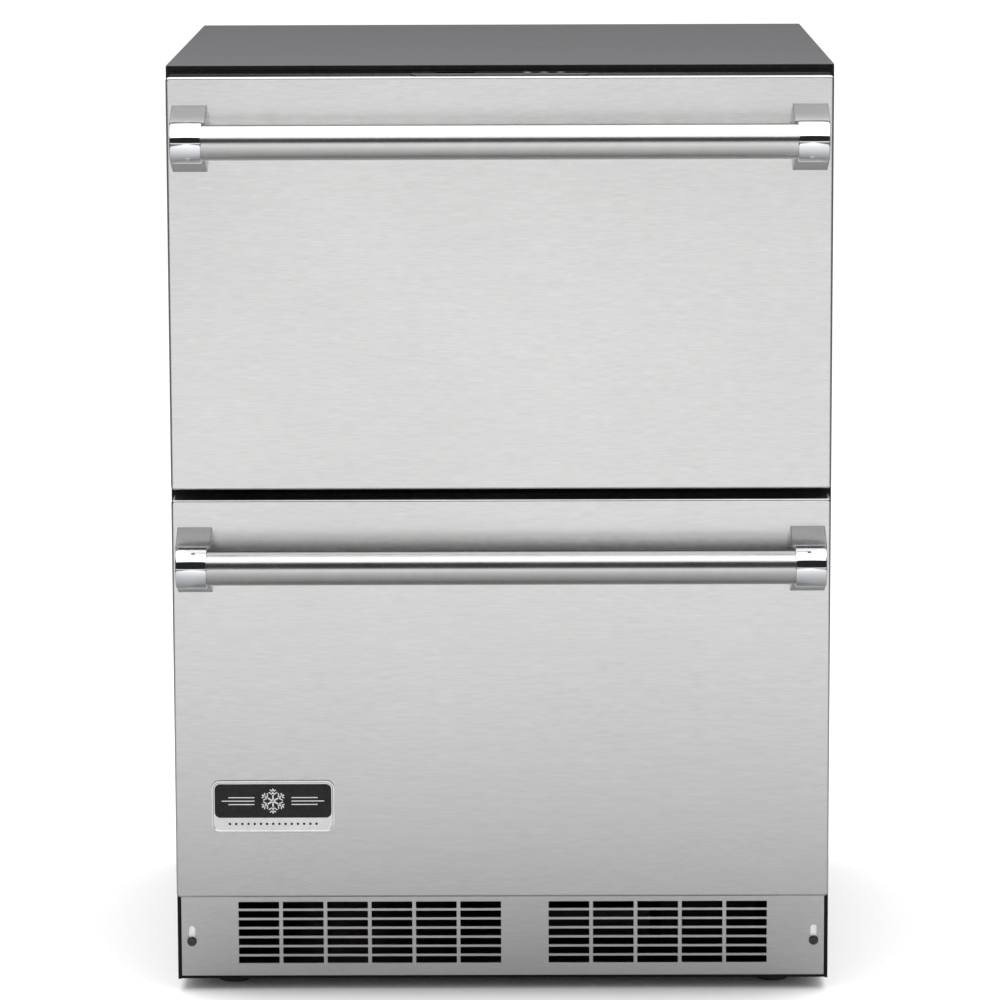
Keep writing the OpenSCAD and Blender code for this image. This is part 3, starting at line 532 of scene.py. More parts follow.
def handle_caps(key, body, middle, bar_r, cap_r):
    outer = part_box(f"{key}_handle_caps")[1].x
    inner, socket_r = outer - CAP_L, bar_r + 0.1 * MM
    bm = bmesh.new()
    lathe(bm, [(inner + CAP_L / 2, 0), (inner + CAP_L / 2, socket_r), (inner, socket_r),
               (inner, cap_r - 1.1 * MM), (inner + 0.35 * MM, cap_r - 0.35 * MM),
               (inner + 1.1 * MM, cap_r), (outer - 1.8 * MM, cap_r),
               (outer - 0.5 * MM, cap_r - 0.5 * MM), (outer, cap_r - 1.8 * MM), (outer, 0)],
          (0, middle.y, middle.z), (1, 0, 0), 96)
    mirrored(bm)
    stand_in(f"{key}_handle_caps", bm, body, "chrome_caps", CHROME, weighted=False)


def handle_brackets(key, body, middle, cap_r):
    """Tapered arms, each with a round hollow at the tip that the cap sits in."""
    lo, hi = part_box(f"{key}_handle_brackets")
    inner, outer = hi.x - ARM_W, hi.x
    face_y = hi.y
    root_h = (hi.z - lo.z) / 2
    tip_y, tip_h = middle.y + TIP_BACK, cap_r - 1 * MM
    rim = ((cap_r + 0.8 * MM) ** 2 - TIP_BACK ** 2) ** 0.5
    bm = bmesh.new()
    start = bm.verts.new((inner, tip_y, middle.z + rim))
    bmesh.ops.spin(bm, geom=[start], cent=(inner, middle.y, middle.z), axis=(1, 0, 0),
                   dvec=(0, 0, 0), angle=-2 * atan2(rim, TIP_BACK), steps=20)
    arc = sorted(bm.verts, key=lambda vert: -vert.co.z)
    corners = [bm.verts.new((inner, y, z)) for y, z in (
        (tip_y, middle.z - tip_h), (face_y, middle.z - root_h),
        (face_y, middle.z + root_h), (tip_y, middle.z + tip_h))]
    for edge in list(bm.edges):
        bm.edges.remove(edge)
    flank = bm.faces.new(arc + corners)
    made = bmesh.ops.extrude_face_region(bm, geom=[flank])["geom"]
    bmesh.ops.translate(bm, verts=new_verts(made), vec=(outer - inner, 0, 0))
    long_edges = [edge for edge in edges_along(bm.edges, 0)
                  if abs(edge.verts[0].co.z - middle.z) > rim + 0.5 * MM
                  and edge.verts[0].co.y < face_y - MM]
    ends = lying_on(bm.edges, 0, inner) + lying_on(bm.edges, 0, outer)
    flank_edges = [edge for edge in ends if any(v.co.y < face_y - MM for v in edge.verts)]
    soften(bm, long_edges + flank_edges, 0.7 * MM)
    mirrored(bm)
    stand_in(f"{key}_handle_brackets", bm, body, "polished_stainless", BRACKET_STEEL_SHADED)


def handle(key, body):
    bar_lo, bar_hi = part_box(f"{key}_handle_bar")
    cap_lo, cap_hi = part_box(f"{key}_handle_caps")
    middle = (bar_lo + bar_hi) / 2
    bar_r, cap_r = (bar_hi.z - bar_lo.z) / 2, (cap_hi.z - cap_lo.z) / 2
    handle_bar(key, body, middle, bar_r)
    handle_caps(key, body, middle, bar_r, cap_r)
    handle_brackets(key, body, middle, cap_r)


for key in ("upper", "lower"):
    front_skin(key, f"{key}_drawer")
    handle(key, f"{key}_drawer")


# ---- kick plate

SLOT_W, SLOT_H = 37.7 * MM, 6.2 * MM
PITCH_X, PITCH_Z = 41.35 * MM, 8.7 * MM
BRIDGE_W = PITCH_X - SLOT_W
COLUMNS, LEFT_COLUMNS, ROWS = 11, 6, 7
PLAIN_W = 44.5 * MM  # unslotted plate between the two fields
FIRST_ROW = 12 * MM
SCREW_IN, SCREW_UP = 9.7 * MM, 33 * MM
HOLE_R, HOLE_RISE = 3.25 * MM, 11.5 * MM
CELL = 5.5 * MM  # half the width of the square patch round a slotted hole


def kick_plate():
    lo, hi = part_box("kick_plate")
    pattern_w = COLUMNS * PITCH_X - 2 * BRIDGE_W + PLAIN_W
    starts = [-pattern_w / 2 + column * PITCH_X
              + (0 if column < LEFT_COLUMNS else PLAIN_W - BRIDGE_W) for column in range(COLUMNS)]
    levels = [lo.z + FIRST_ROW + row * PITCH_Z for row in range(ROWS)]
    screw_x, screw_z = hi.x - SCREW_IN, lo.z + SCREW_UP
    patch_lo, patch_hi = screw_z - CELL, screw_z + HOLE_RISE + CELL

    bm = bmesh.new()
    upright_sheet(bm, lo, hi, lo.y)
    cut_openings(bm, [
        ([(start, start + SLOT_W) for start in starts],
         [(level, level + SLOT_H) for level in levels]),
        ([(side * screw_x - CELL, side * screw_x + CELL) for side in (-1, 1)],
         [(patch_lo, patch_hi)])])
    for side in (-1, 1):
        border = [edge for edge in bm.edges if edge.is_boundary and all(
            abs(v.co.x * side - screw_x) < CELL + SAME
            and patch_lo - SAME < v.co.z < patch_hi + SAME for v in edge.verts)]
        place = Matrix.Translation((side * screw_x, lo.y, screw_z))
        ring = bmesh.ops.create_circle(bm, cap_ends=False, segments=24, radius=HOLE_R,
                                       matrix=place @ Matrix.Rotation(pi / 2, 4, "X"))["verts"]
        for vert in ring:
            if vert.co.z > screw_z + SAME:
                vert.co.z += HOLE_RISE
        bmesh.ops.triangle_fill(bm, edges=border + edges_of(ring), use_beauty=True,
                                normal=(0, -1, 0))
    bm.normal_update()
    bmesh.ops.reverse_faces(bm, faces=[face for face in bm.faces if face.normal.y > 0])
    thicken(bm, hi.y - lo.y)
    rims = [edge for edge in lying_on(bm.edges, 1, lo.y)
            if len(edge.link_faces) == 2 and edge.calc_face_angle(0) > 1.0]
    soften(bm, rims, 0.35 * MM, 2)
    stand_in("kick_plate", bm, "kick_plate", "brushed_stainless", PLATE_STEEL_LIGHTENED)


def pan_head(bm, centre, outward, radius, height, tip=None, sides=24):
    """Cross recess screw head whose underside is at the centre."""
    turn = outward.to_track_quat("Z", "Y").to_matrix().to_4x4()
    place = Matrix.Translation(centre) @ turn
    arm, half = 0.50 * radius, 0.14 * radius
    cross = [(half, arm), (-half, arm), (-half, half), (-arm, half), (-arm, -half),
             (-half, -half), (-half, -arm), (half, -arm), (half, -half), (arm, -half),
             (arm, half), (half, half)]
    verts = [bm.verts.new(place @ Vector((x, y, height))) for x, y in cross]
    rim = [bm.edges.new((a, b)) for a, b in zip(verts, verts[1:] + verts[:1])]
    crown = bmesh.ops.create_circle(bm, cap_ends=False, segments=sides, radius=0.62 * radius,
                                    matrix=place @ Matrix.Translation((0, 0, height)))["verts"]
    bmesh.ops.bridge_loops(bm, edges=rim + edges_of(crown))
    loop = [edge for edge in edges_of(crown) if all(v in crown for v in edge.verts)]

    def drawn_in(edges, scale, drop):
        """A copy of a loop, scaled about the screw's axis and lowered."""
        made = bmesh.ops.extrude_edge_only(bm, edges=edges)["geom"]
        moved = new_verts(made)
        bmesh.ops.scale(bm, verts=moved, vec=(scale, scale, 1), space=place.inverted())
        bmesh.ops.translate(bm, verts=moved, vec=outward * (-drop * height))
        return moved, new_edges(made, moved)

    for scale, drop in ((1.32, 0.12), (1.15, 0.22), (1.06, 0.30), (1.0, 0.36)):
        moved, loop = drawn_in(loop, scale, drop)
    bmesh.ops.translate(bm, verts=moved, vec=outward * (-0.06 * height))
    bmesh.ops.contextual_create(bm, geom=loop)
    bmesh.ops.contextual_create(bm, geom=drawn_in(rim, 0.6, 0.65)[1])
    if tip is not None:
        rod(bm, Vector(centre), tip, 0.49 * radius, 16)


def kick_plate_screws():
    lo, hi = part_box("kick_plate_screws")
    head_r, head_h = (hi.z - lo.z) / 2, 2.2 * MM
    level = (hi.z + lo.z) / 2
    bm = bmesh.new()
    for x in (lo.x + head_r, hi.x - head_r):
        pan_head(bm, Vector((x, lo.y + head_h, level)), Vector((0, -1, 0)), head_r, head_h,
                 Vector((x, hi.y, level)))
    stand_in("kick_plate_screws", bm, "cabinet", "zinc_screw", DARK_SCREW)


kick_plate()
kick_plate_screws()


# ---- controls and badge

def control_module():
    lo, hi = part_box("control_module")
    flange_h, pocket_half = 2.2 * MM, 72 * MM
    bm = bmesh.new()
    rounded_block(bm, Vector((lo.x, lo.y, hi.z - flange_h)), hi, 2, 5 * MM, 6)
    soften(bm, lying_on(bm.edges, 2, hi.z), 0.9 * MM, 4)
    rounded_block(bm, Vector((-pocket_half, lo.y + 4 * MM, lo.z)),
                  Vector((pocket_half, hi.y - 4 * MM, hi.z - flange_h + 0.2 * MM)), 2, 2 * MM, 3)
    stand_in("control_module", bm, "upper_drawer", "control_black", CONTROL_BLACK)


def display():
    lo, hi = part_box("display_window")
    bm = bmesh.new()
    rounded_block(bm, lo, hi, 2, 1.5 * MM, 4)
    soften(bm, lying_on(bm.edges, 2, hi.z), 0.2 * MM, 2)
    stand_in("display_window", bm, "upper_drawer", "display_glass", DISPLAY_GLASS)

    # two figures of up to seven strokes each, lit under the window
    bm = bmesh.new()
    top, centre_bar, bottom = (0, 1, True), (0, 0, True), (0, -1, True)
    upper_left, upper_right = (-1, 0.5, False), (1, 0.5, False)
    lower_left, lower_right = (-1, -0.5, False), (1, -0.5, False)
    three = (top, upper_right, centre_bar, lower_right, bottom)
    eight = (top, centre_bar, bottom, upper_left, upper_right, lower_left, lower_right)
    middle = (lo + hi) / 2
    for place, strokes in ((-3.6, three), (3.6, eight)):
        for across, along, lies in strokes:
            centre = Vector((middle.x + (place + 2.0 * across) * MM,
                             middle.y + 3.8 * along * MM, hi.z))
            half = Vector((1.6, 0.4, 0)) if lies else Vector((0.4, 1.5, 0))
            soft_block(bm, centre - half * MM - Vector((0, 0, 0.12 * MM)),
                       centre + half * MM - Vector((0, 0, 0.02 * MM)), 0.03 * MM, 1)
    piece("Display_figures", bm, "upper_drawer", "display_glass", FIGURE_GLOW)


def key_cap(node_name, mark):
    """Round key with a dished top and its sign, a list of (x, y, half width, half length)."""
    lo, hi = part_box(node_name)
    middle = (lo + hi) / 2
    radius = (hi.x - lo.x) / 2
    bm = bmesh.new()
    tall, sunk = hi.z - lo.z - 0.5 * MM, 1.5 * MM
    lathe(bm, [(sunk, 0), (sunk, radius), (tall - 0.7 * MM, radius),
               (tall - 0.25 * MM, radius - 0.2 * MM), (tall - 0.05 * MM, radius - 0.7 * MM),
               (tall - 0.1 * MM, radius - 1.5 * MM), (tall - 0.15 * MM, 0)],
          (middle.x, middle.y, lo.z), (0, 0, 1), 40)
    plain = len(bm.faces)
    top = lo.z + tall - 0.14 * MM
    for x, y, half_x, half_y in mark:
        centre = Vector((middle.x + x * MM, middle.y + y * MM, top))
        half = Vector((half_x, half_y, 0.05)) * MM
        soft_block(bm, centre - half, centre + half, 0.02 * MM, 1)
    second_finish(bm, plain)
    stand_in(node_name, bm, node_name, "key_grey", [KEY_GREY, MARK_WHITE], weighted=False)


BADGE_SKIN = 0.08 * MM  # how far the crystal and bars stand out, either way


def badge_plate(lo, hi):
    """Silver plate with a raised rim."""
    bm = bmesh.new()
    rounded_block(bm, lo, hi, 1, 8 * MM, 8)
    bmesh.ops.inset_region(bm, faces=lying_on(bm.faces, 1, lo.y), thickness=1.7 * MM,
                           use_even_offset=True)
    sunk = [face for face in lying_on(bm.faces, 1, lo.y) if len(face.verts) > 4]
    bmesh.ops.inset_region(bm, faces=sunk, thickness=0.5 * MM, use_even_offset=True,
                           depth=-0.5 * MM)
    soften(bm, sharp_edges(lying_on(bm.edges, 1, lo.y)), 0.45 * MM)
    piece("Badge_plate", bm, "lower_drawer", "badge_plate", BADGE_SILVER, ["badge"])


def badge_crystal(centre):
    """Snow crystal between two sets of plain bars."""
    bm = bmesh.new()
    arm_l, skin = 11.5 * MM, BADGE_SKIN
    for sixth in range(6):
        made = block(bm, Vector((-0.7 * MM, -skin, 0.6 * MM)), Vector((0.7 * MM, skin, arm_l)))
        for reach, branch in ((0.50, 4.6), (0.76, 3.2)):
            for side in (-1, 1):
                twig = block(bm, Vector((-0.5 * MM, -skin, 0)),
                             Vector((0.5 * MM, skin, branch * MM)))
                bmesh.ops.transform(bm, verts=twig, matrix=Matrix.Translation(
                    (0, 0, reach * arm_l)) @ Matrix.Rotation(side * radians(58), 4, "Y"))
                made += twig
        bmesh.ops.transform(bm, verts=made, matrix=Matrix.Translation(centre)
                            @ Matrix.Rotation(tau * sixth / 6, 4, "Y"))
    near, half_h = 17, 0.45
    for side in (-1, 1):
        for level, length in ((3.2, 24), (0, 30), (-3.2, 24)):
            left, right = sorted((side * near * MM, side * (near + length) * MM))
            block(bm, centre + Vector((left, -skin, (level - half_h) * MM)),
                  centre + Vector((right, skin, (level + half_h) * MM)))
    piece("Badge_crystal", bm, "lower_drawer", "badge_plate", BADGE_SILVER, weighted=False)


def badge_studs(lo, hi):
    """A row of small studs on the silver band."""
    bm = bmesh.new()
    level = lo.z + 8.2 * MM
    for step in range(15):
        x = lo.x + (hi.x - lo.x) * (step + 3.0) / 20.0
        rod(bm, Vector((x, lo.y + 0.6 * MM, level)), Vector((x, lo.y + 0.25 * MM, level)),
            1.3 * MM, 12, 1.0 * MM)
    piece("Badge_studs", bm, "lower_drawer", "badge_plate", BADGE_BLACK, weighted=False)


def badge():
    """Raised silver rim and lower band, a black field with a snow crystal on it."""
    lo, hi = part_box("badge")
    badge_plate(lo, hi)
    bm = bmesh.new()
    field_lo = Vector((lo.x + 3.2 * MM, lo.y + 0.1 * MM, lo.z + 14 * MM))
    field_hi = Vector((hi.x - 3.2 * MM, lo.y + 1.0 * MM, hi.z - 3.2 * MM))
    rounded_block(bm, field_lo, field_hi, 1, 5 * MM, 6)
    soften(bm, lying_on(bm.edges, 1, field_lo.y), 0.2 * MM, 2)
    piece("Badge_field", bm, "lower_drawer", "badge_plate", BADGE_BLACK)
    middle = (field_lo + field_hi) / 2
    badge_crystal(Vector((middle.x, field_lo.y, middle.z)))
    badge_studs(lo, hi)


control_module()
display()
key_cap("power_key", [(0, 1.6, 0.3, 1.0), (-1.5, -0.2, 0.3, 1.2), (1.5, -0.2, 0.3, 1.2),
                      (0, -1.5, 1.5, 0.3)])
key_cap("warmer_key", [(0, 0, 1.9, 0.32), (0, 0, 0.32, 1.9)])
key_cap("colder_key", [(0, 0, 1.9, 0.32)])
badge()


# ---- insides of the drawers

def ring_walls(bm, centre, half_u, half_v, outline, segments=6, closed=False):
    """Walls round a rectangle with rounded corners, from rings of (inset, y, corner radius)."""
    steps = 4 * segments
    inset, depth, radius = outline[0]
    turn = Matrix.Rotation(pi / 2, 4, "X") @ Matrix.Rotation(pi / steps, 4, "Z")
    place = Matrix.Translation((centre.x, depth, centre.z))
    ring = bmesh.ops.create_circle(bm, cap_ends=False, segments=steps, radius=radius,
                                   matrix=place @ turn)["verts"]
    for vert in ring:
        vert.co.x += copysign(half_u - inset - radius, vert.co.x - centre.x)
        vert.co.z += copysign(half_v - inset - radius, vert.co.z - centre.z)
    first = last = edges_of(ring)
    for next_inset, next_depth, next_radius in outline[1:]:
        made = bmesh.ops.extrude_edge_only(bm, edges=last)["geom"]
        moved = set(new_verts(made))
        for vert in moved:
            for axis, half in ((0, half_u), (2, half_v)):
                from_middle = vert.co[axis] - centre[axis]
                side = copysign(1, from_middle)
                across = (from_middle - side * (half - inset - radius)) / radius
                vert.co[axis] = (centre[axis] + side * (half - next_inset - next_radius)
                                 + across * next_radius)
            vert.co.y = next_depth
        last = new_edges(made, moved)
        inset, radius = next_inset, next_radius
    if closed:
        bmesh.ops.remove_doubles(bm, verts=bm.verts[:], dist=SAME)
        return None
    return first, last


def front_liner(key, body):
    """Moulded inner panel with a raised plug and a shallow dish in it."""
    lo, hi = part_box(f"{key}_front_liner")
    seal_lo, seal_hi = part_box(f"{key}_gasket")
    bm = bmesh.new()
    rounded_block(bm, lo, Vector((hi.x, lo.y + 1.5 * MM, hi.z)), 1, 2.5 * MM, 4)
    edge_in, corner_r = 24 * MM, 18
    half_u = seal_hi.x - edge_in
    half_v = (seal_hi.z - seal_lo.z) / 2 - edge_in
    outline = [(-1.0, 1.3), (0.0, 2.6), (0.4, 6.0), (1.2, 8.4), (2.6, 9.3), (4.0, 9.5),
               (22.0, 9.5), (23.4, 9.2), (26.6, 6.6), (28.0, 6.3)]
    rings = [(inset * MM, lo.y + rise * MM, (corner_r - 0.4 * inset) * MM)
             for inset, rise in outline]
    centre = Vector((0, 0, (seal_lo.z + seal_hi.z) / 2))
    for end in ring_walls(bm, centre, half_u, half_v, rings, 8):
        bmesh.ops.contextual_create(bm, geom=end)
    stand_in(f"{key}_front_liner", bm, body, "white_liner", WHITE_LINER)


def gasket(key, body):
    """Soft seal with two folds and a magnet strip, run round the plug."""
    lo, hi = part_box(f"{key}_gasket")
    outline = [(0.5, 0.0), (0.5, 0.12), (2.2, 0.22), (2.2, 0.34), (0.4, 0.46), (0.4, 0.60),
               (1.6, 0.70), (0.3, 0.80), (0.0, 0.95), (0.8, 1.0), (11.2, 1.0), (12.0, 0.95),
               (11.7, 0.80), (10.4, 0.70), (11.6, 0.60), (11.6, 0.46), (9.8, 0.34),
               (9.8, 0.22), (11.5, 0.12), (11.5, 0.0)]
    rings = [(inset * MM, lo.y + (hi.y - lo.y) * depth, (15 - inset) * MM)
             for inset, depth in outline]
    bm = bmesh.new()
    ring_walls(bm, (lo + hi) / 2, (hi.x - lo.x) / 2, (hi.z - lo.z) / 2, rings + rings[:1],
               closed=True)
    stand_in(f"{key}_gasket", bm, body, "gasket_rubber", RUBBER, crease=40)


BIN_WALL = 2 * MM
STEP_Y, STEP_Z = 53.75 * MM, 331.5 * MM  # where the lower bin steps up over the compressor


def bin_tub(key, body, step=None):
    """Moulded tub, one sheet with rounded bends and a soft rim, with a step at the back."""
    lo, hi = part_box(f"{key}_bin")
    outline = [(lo.y, hi.z), (lo.y, lo.z)]
    outline += [(hi.y, lo.z)] if step is None else [(step[0], lo.z), step, (hi.y, step[1])]
    outline += [(hi.y, hi.z)]
    bm = bmesh.new()
    drawn_out(bm, [Vector((lo.x, y, z)) for y, z in outline], Vector((hi.x - lo.x, 0, 0)))
    face_outwards(bm)
    remove(bm, lying_on(bm.faces, 2, hi.z))
    bends = [edge for edge in bm.edges if not edge.is_boundary and edge.calc_face_angle(0) > 0.5]
    soften(bm, bends, 9 * MM, 5)
    face_outwards(bm)
    thicken(bm, BIN_WALL)
    soften(bm, sharp_edges(lying_on(bm.edges, 2, hi.z)), 1.2 * MM)
    stand_in(f"{key}_bin", bm, body, "bin_plastic", BIN_PLASTIC, crease=40)


def bin_ribs(key, body, back_y):
    """Ribs that keep what is stored off the floor of the bin."""
    lo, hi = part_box(f"{key}_bin")
    count, half_w, short = 11, 2 * MM, 22 * MM
    bm = bmesh.new()
    for number in range(count):
        x = lo.x + (hi.x - lo.x) * (number + 1) / (count + 1)
        rib = block(bm, Vector((x - half_w, lo.y + short, lo.z + 1.5 * MM)),
                    Vector((x + half_w, back_y - short, lo.z + 4.6 * MM)))
        upper = [edge for edge in edges_of(rib)
                 if all(v.co.z > lo.z + 4 * MM for v in edge.verts)]
        soften(bm, upper, 1.2 * MM, 2)
    piece(f"{key.capitalize()}_bin_ribs", bm, body, "bin_plastic", BIN_PLASTIC)


def bin_divider(key):
    """Clear plate that hangs by a hooked bar at each end."""
    lo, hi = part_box(f"{key}_divider")
    web, end_gap, bar_l = 1.5 * MM, 3.8 * MM, 8 * MM
    bm = bmesh.new()
    plate = block(bm, Vector((-web, lo.y + end_gap, lo.z)), Vector((web, hi.y - end_gap, hi.z)))
    lower = [edge for edge in edges_along(edges_of(plate), 0)
             if edge.verts[0].co.z < lo.z + MM]
    soften(bm, lower, 12 * MM, 6)
    soften(bm, sharp_edges(bm.edges), 0.5 * MM, 2)
    for y0, y1 in ((lo.y, lo.y + bar_l), (hi.y - bar_l, hi.y)):
        soft_block(bm, Vector((lo.x, y0, hi.z - 3 * MM)), Vector((hi.x, y1, hi.z)), 1.0 * MM, 3)
    stand_in(f"{key}_divider", bm, f"{key}_bin_divider", "clear_plastic", CLEAR_PLASTIC)


COLD_HALF, BIN_HALF = 258 * MM, 245 * MM  # half widths of the cold room and of a bin


def slide_members(key):
    """Folded channels, each with its web at one x and two flanges reaching to the other."""
    for part, body, web_x, flange_x in (
            ("inner", f"{key}_drawer", BIN_HALF, COLD_HALF - 7.2 * MM),
            ("middle", f"{key}_slide_members", COLD_HALF - 4.3 * MM, COLD_HALF - 10.5 * MM)):
        lo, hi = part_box(f"{key}_{part}_members")
        bm = bmesh.new()
        verts = [bm.verts.new((x, lo.y, z)) for x, z in
                 ((flange_x, hi.z), (web_x, hi.z), (web_x, lo.z), (flange_x, lo.z))]
        edges = [bm.edges.new(pair) for pair in zip(verts, verts[1:])]
        made = bmesh.ops.extrude_edge_only(bm, edges=edges)["geom"]
        bmesh.ops.translate(bm, verts=new_verts(made), vec=(0, hi.y - lo.y, 0))
        folds = [edge for edge in edges_along(edges_of(verts), 1)
                 if abs(edge.verts[0].co.x - web_x) < SAME]
        soften(bm, folds, 1.6 * MM)
        outward = Vector((1 if flange_x < web_x else -1, 0, 0))
        face_outwards(bm)
        web = max(bm.faces, key=lambda face: face.calc_area())
        if web.normal.dot(outward) < 0:
            bmesh.ops.reverse_faces(bm, faces=bm.faces[:])
        thicken(bm, 1.2 * MM)
        mirrored(bm)
        stand_in(f"{key}_{part}_members", bm, body, "zinc_screw", ZINC)


for key in ("upper", "lower"):
    front_liner(key, f"{key}_drawer")
    gasket(key, f"{key}_drawer")
    bin_divider(key)
    slide_members(key)
bin_tub("upper", "upper_drawer")
bin_tub("lower", "lower_drawer", step=(STEP_Y, STEP_Z))
bin_ribs("upper", "upper_drawer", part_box("upper_bin")[1].y)
bin_ribs("lower", "lower_drawer", STEP_Y)


# ---- back and legs

BACK_SHEET = 0.75 * MM


def edge_screws(name, places):
    bm = bmesh.new()
    for place in places:
        pan_head(bm, Vector(place), Vector((0, 1, 0)), 4 * MM, BACK_SHEET, sides=20)
    piece(name, bm, "cabinet", "zinc_screw", ZINC)


def back_panel():
    """Sheet with two pressed fields, each raised inside a rounded border."""
    lo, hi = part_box("back_panel")
    sheet_back = hi.y - BACK_SHEET
    middle, margin = (lo.z + hi.z) / 2, 40 * MM
    bm = bmesh.new()
    rounded_block(bm, lo, Vector((hi.x, sheet_back, hi.z)), 1, 3 * MM, 3)
    rings = [(inset * MM, sheet_back + rise * MM, (26 - inset) * MM) for inset, rise in (
        (0, -0.2), (0.6, 0.2), (2.4, 0.7), (9, 0.7), (10.8, 0.2), (11.4, -0.2), (0, -0.2))]
    for z0, z1 in ((lo.z + margin, middle - 22 * MM), (middle + 22 * MM, hi.z - margin)):
        ring_walls(bm, Vector((0, 0, (z0 + z1) / 2)), hi.x - 44 * MM, (z1 - z0) / 2, rings,
                   closed=True)
    stand_in("back_panel", bm, "cabinet", "galvanised_sheet", GALVANISED)
    pitch = (hi.z - lo.z - 28 * MM) / 4
    places = [(side * (hi.x - 9 * MM), sheet_back, lo.z + 14 * MM + step * pitch)
              for side in (-1, 1) for step in range(5)]
    edge_screws("Back_panel_screws",
                places + [(x, sheet_back, hi.z - 9 * MM) for x in (-0.15, 0.15)])


def rear_cover():
    """Sheet over the machine compartment, with a field of louvres on each side."""
    lo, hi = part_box("rear_cover")
    inlet_lo, inlet_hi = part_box("power_inlet")
    sheet_back = hi.y - BACK_SHEET
    body_half = hi.x + 1.7 * MM
    louvre_half, louvre_h = body_half / 4, 5 * MM
    fields = [side * body_half * 0.4 for side in (-1, 1)]
    levels = [hi.z + 0.3 * MM - (40 + 14 * row) * MM for row in range(8)]
    gap = 0.5 * MM
    bm = bmesh.new()
    upright_sheet(bm, lo, hi, sheet_back)
    cut_openings(bm, [
        ([(field - louvre_half, field + louvre_half) for field in fields],
         [(level - louvre_h / 2, level + louvre_h / 2) for level in levels]),
        ([(inlet_lo.x - gap, inlet_hi.x + gap)], [(inlet_lo.z - gap, inlet_hi.z + gap)])])
    face_outwards(bm)
    if sum(face.normal.y for face in bm.faces) < 0:
        bmesh.ops.reverse_faces(bm, faces=bm.faces[:])
    thicken(bm, BACK_SHEET)
    for field in fields:  # hoods pressed inwards from the upper edge of each slot
        for level in levels:
            outline = [(-0.7 * MM, louvre_h / 2), (0, louvre_h / 2),
                       (-5.2 * MM, -louvre_h / 2), (-5.9 * MM, -louvre_h / 2)]
            drawn_out(bm, [Vector((field - louvre_half, sheet_back + y, level + z))
                           for y, z in outline], Vector((2 * louvre_half, 0, 0)))
    stand_in("rear_cover", bm, "cabinet", "galvanised_sheet", GALVANISED)
    low, high = lo.z + 12 * MM, hi.z - 12 * MM
    edge_screws("Rear_cover_screws",
                [(side * (hi.x - 9 * MM), sheet_back, z) for side in (-1, 1)
                 for z in (low, (lo.z + hi.z) / 2, high)]
                + [(0, sheet_back, low), (0, sheet_back, high)])


def power_inlet():
    """Socket for a detachable lead, with its three pins."""
    lo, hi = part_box("power_inlet")
    middle = (lo + hi) / 2
    bm = bmesh.new()
    rounded_block(bm, lo, hi, 1, 3 * MM, 4)
    remove(bm, lying_on(bm.faces, 1, hi.y))
    rim = [edge for edge in bm.edges if edge.is_boundary]
    mouth, deep = ring_walls(bm, middle, 12.5 * MM, 8.5 * MM,
                             [(0, hi.y, 3 * MM), (0.5 * MM, hi.y - 16 * MM, 3 * MM)], 4)
    bmesh.ops.triangle_fill(bm, edges=rim + mouth, use_beauty=True)
    bmesh.ops.contextual_create(bm, geom=deep)
    plain = len(bm.faces)
    for across, up in ((-7, -1), (0, 2), (7, -1)):
        x, z = middle.x + across * MM, middle.z + up * MM
        soft_block(bm, Vector((x - MM, hi.y - 17 * MM, z - 2 * MM)),
                   Vector((x + MM, hi.y - 4 * MM, z + 2 * MM)), 0.4 * MM)
    second_finish(bm, plain)
    stand_in("power_inlet", bm, "cabinet", "black_plastic", [BLACK_PLASTIC, ZINC])


def leg(node_name):
    """Levelling leg: a rubber pad, a hexagon for the spanner and a threaded stem."""
    lo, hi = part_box(node_name)
    middle = (lo + hi) / 2
    foot = (middle.x, middle.y, 0)
    pad_r, nut_r = (hi.x - lo.x) / 2, 9.8 * MM
    bm = bmesh.new()
    lathe(bm, [(0, 0), (0, pad_r - 1.2 * MM), (1.2 * MM, pad_r), (4.4 * MM, pad_r),
               (5.4 * MM, pad_r - 0.8 * MM), (6 * MM, pad_r - 2.4 * MM), (6 * MM, 0)],
          foot, (0, 0, 1))
    pads = len(bm.faces)
    place = Matrix.Translation((middle.x, middle.y, 10.5 * MM))
    nut = bmesh.ops.create_cone(bm, cap_ends=True, segments=6, radius1=nut_r, radius2=nut_r,
                                depth=9 * MM, matrix=place)["verts"]
    soften(bm, edges_of(nut), 0.5 * MM, 2)
    stem_r, root_r, pitch = 4.9 * MM, 4.2 * MM, 1.5 * MM
    outline = [(14 * MM, 0), (14 * MM, stem_r)]
    level = 15 * MM
    while level + pitch < hi.z - MM:
        outline += [(level, root_r), (level + 0.5 * pitch, stem_r)]
        level += pitch
    lathe(bm, outline + [(hi.z, root_r), (hi.z, 0)], foot, (0, 0, 1), 24)
    second_finish(bm, pads)
    stand_in(node_name, bm, node_name, "black_plastic", [RUBBER, ZINC])


def screw_tabs():
    """Tabs of the base behind the slotted holes of the kick plate, coloured pale: a painted
    highlight for the light they catch.
    """
    lo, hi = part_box("kick_plate_screws")
    level = (lo.z + hi.z) / 2
    plate_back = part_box("kick_plate")[1].y
    half_w = 5.2 * MM
    bm = bmesh.new()
    for side in (-1, 1):
        x = side * (hi.x - 4.5 * MM)
        soft_block(bm, Vector((x - half_w, plate_back + 0.1 * MM, level - 7 * MM)),
                   Vector((x + half_w, plate_back + 0.6 * MM, level + 20 * MM)), 0.1 * MM, 1)
    piece("Kick_plate_tabs", bm, "cabinet", "galvanised_sheet", TAB_PAINTED_HIGHLIGHT)


back_panel()
rear_cover()
power_inlet()
screw_tabs()
for leg_name in ("front_left_leg", "front_right_leg", "rear_left_leg", "rear_right_leg"):
    leg(leg_name)


# ---- floor, lights

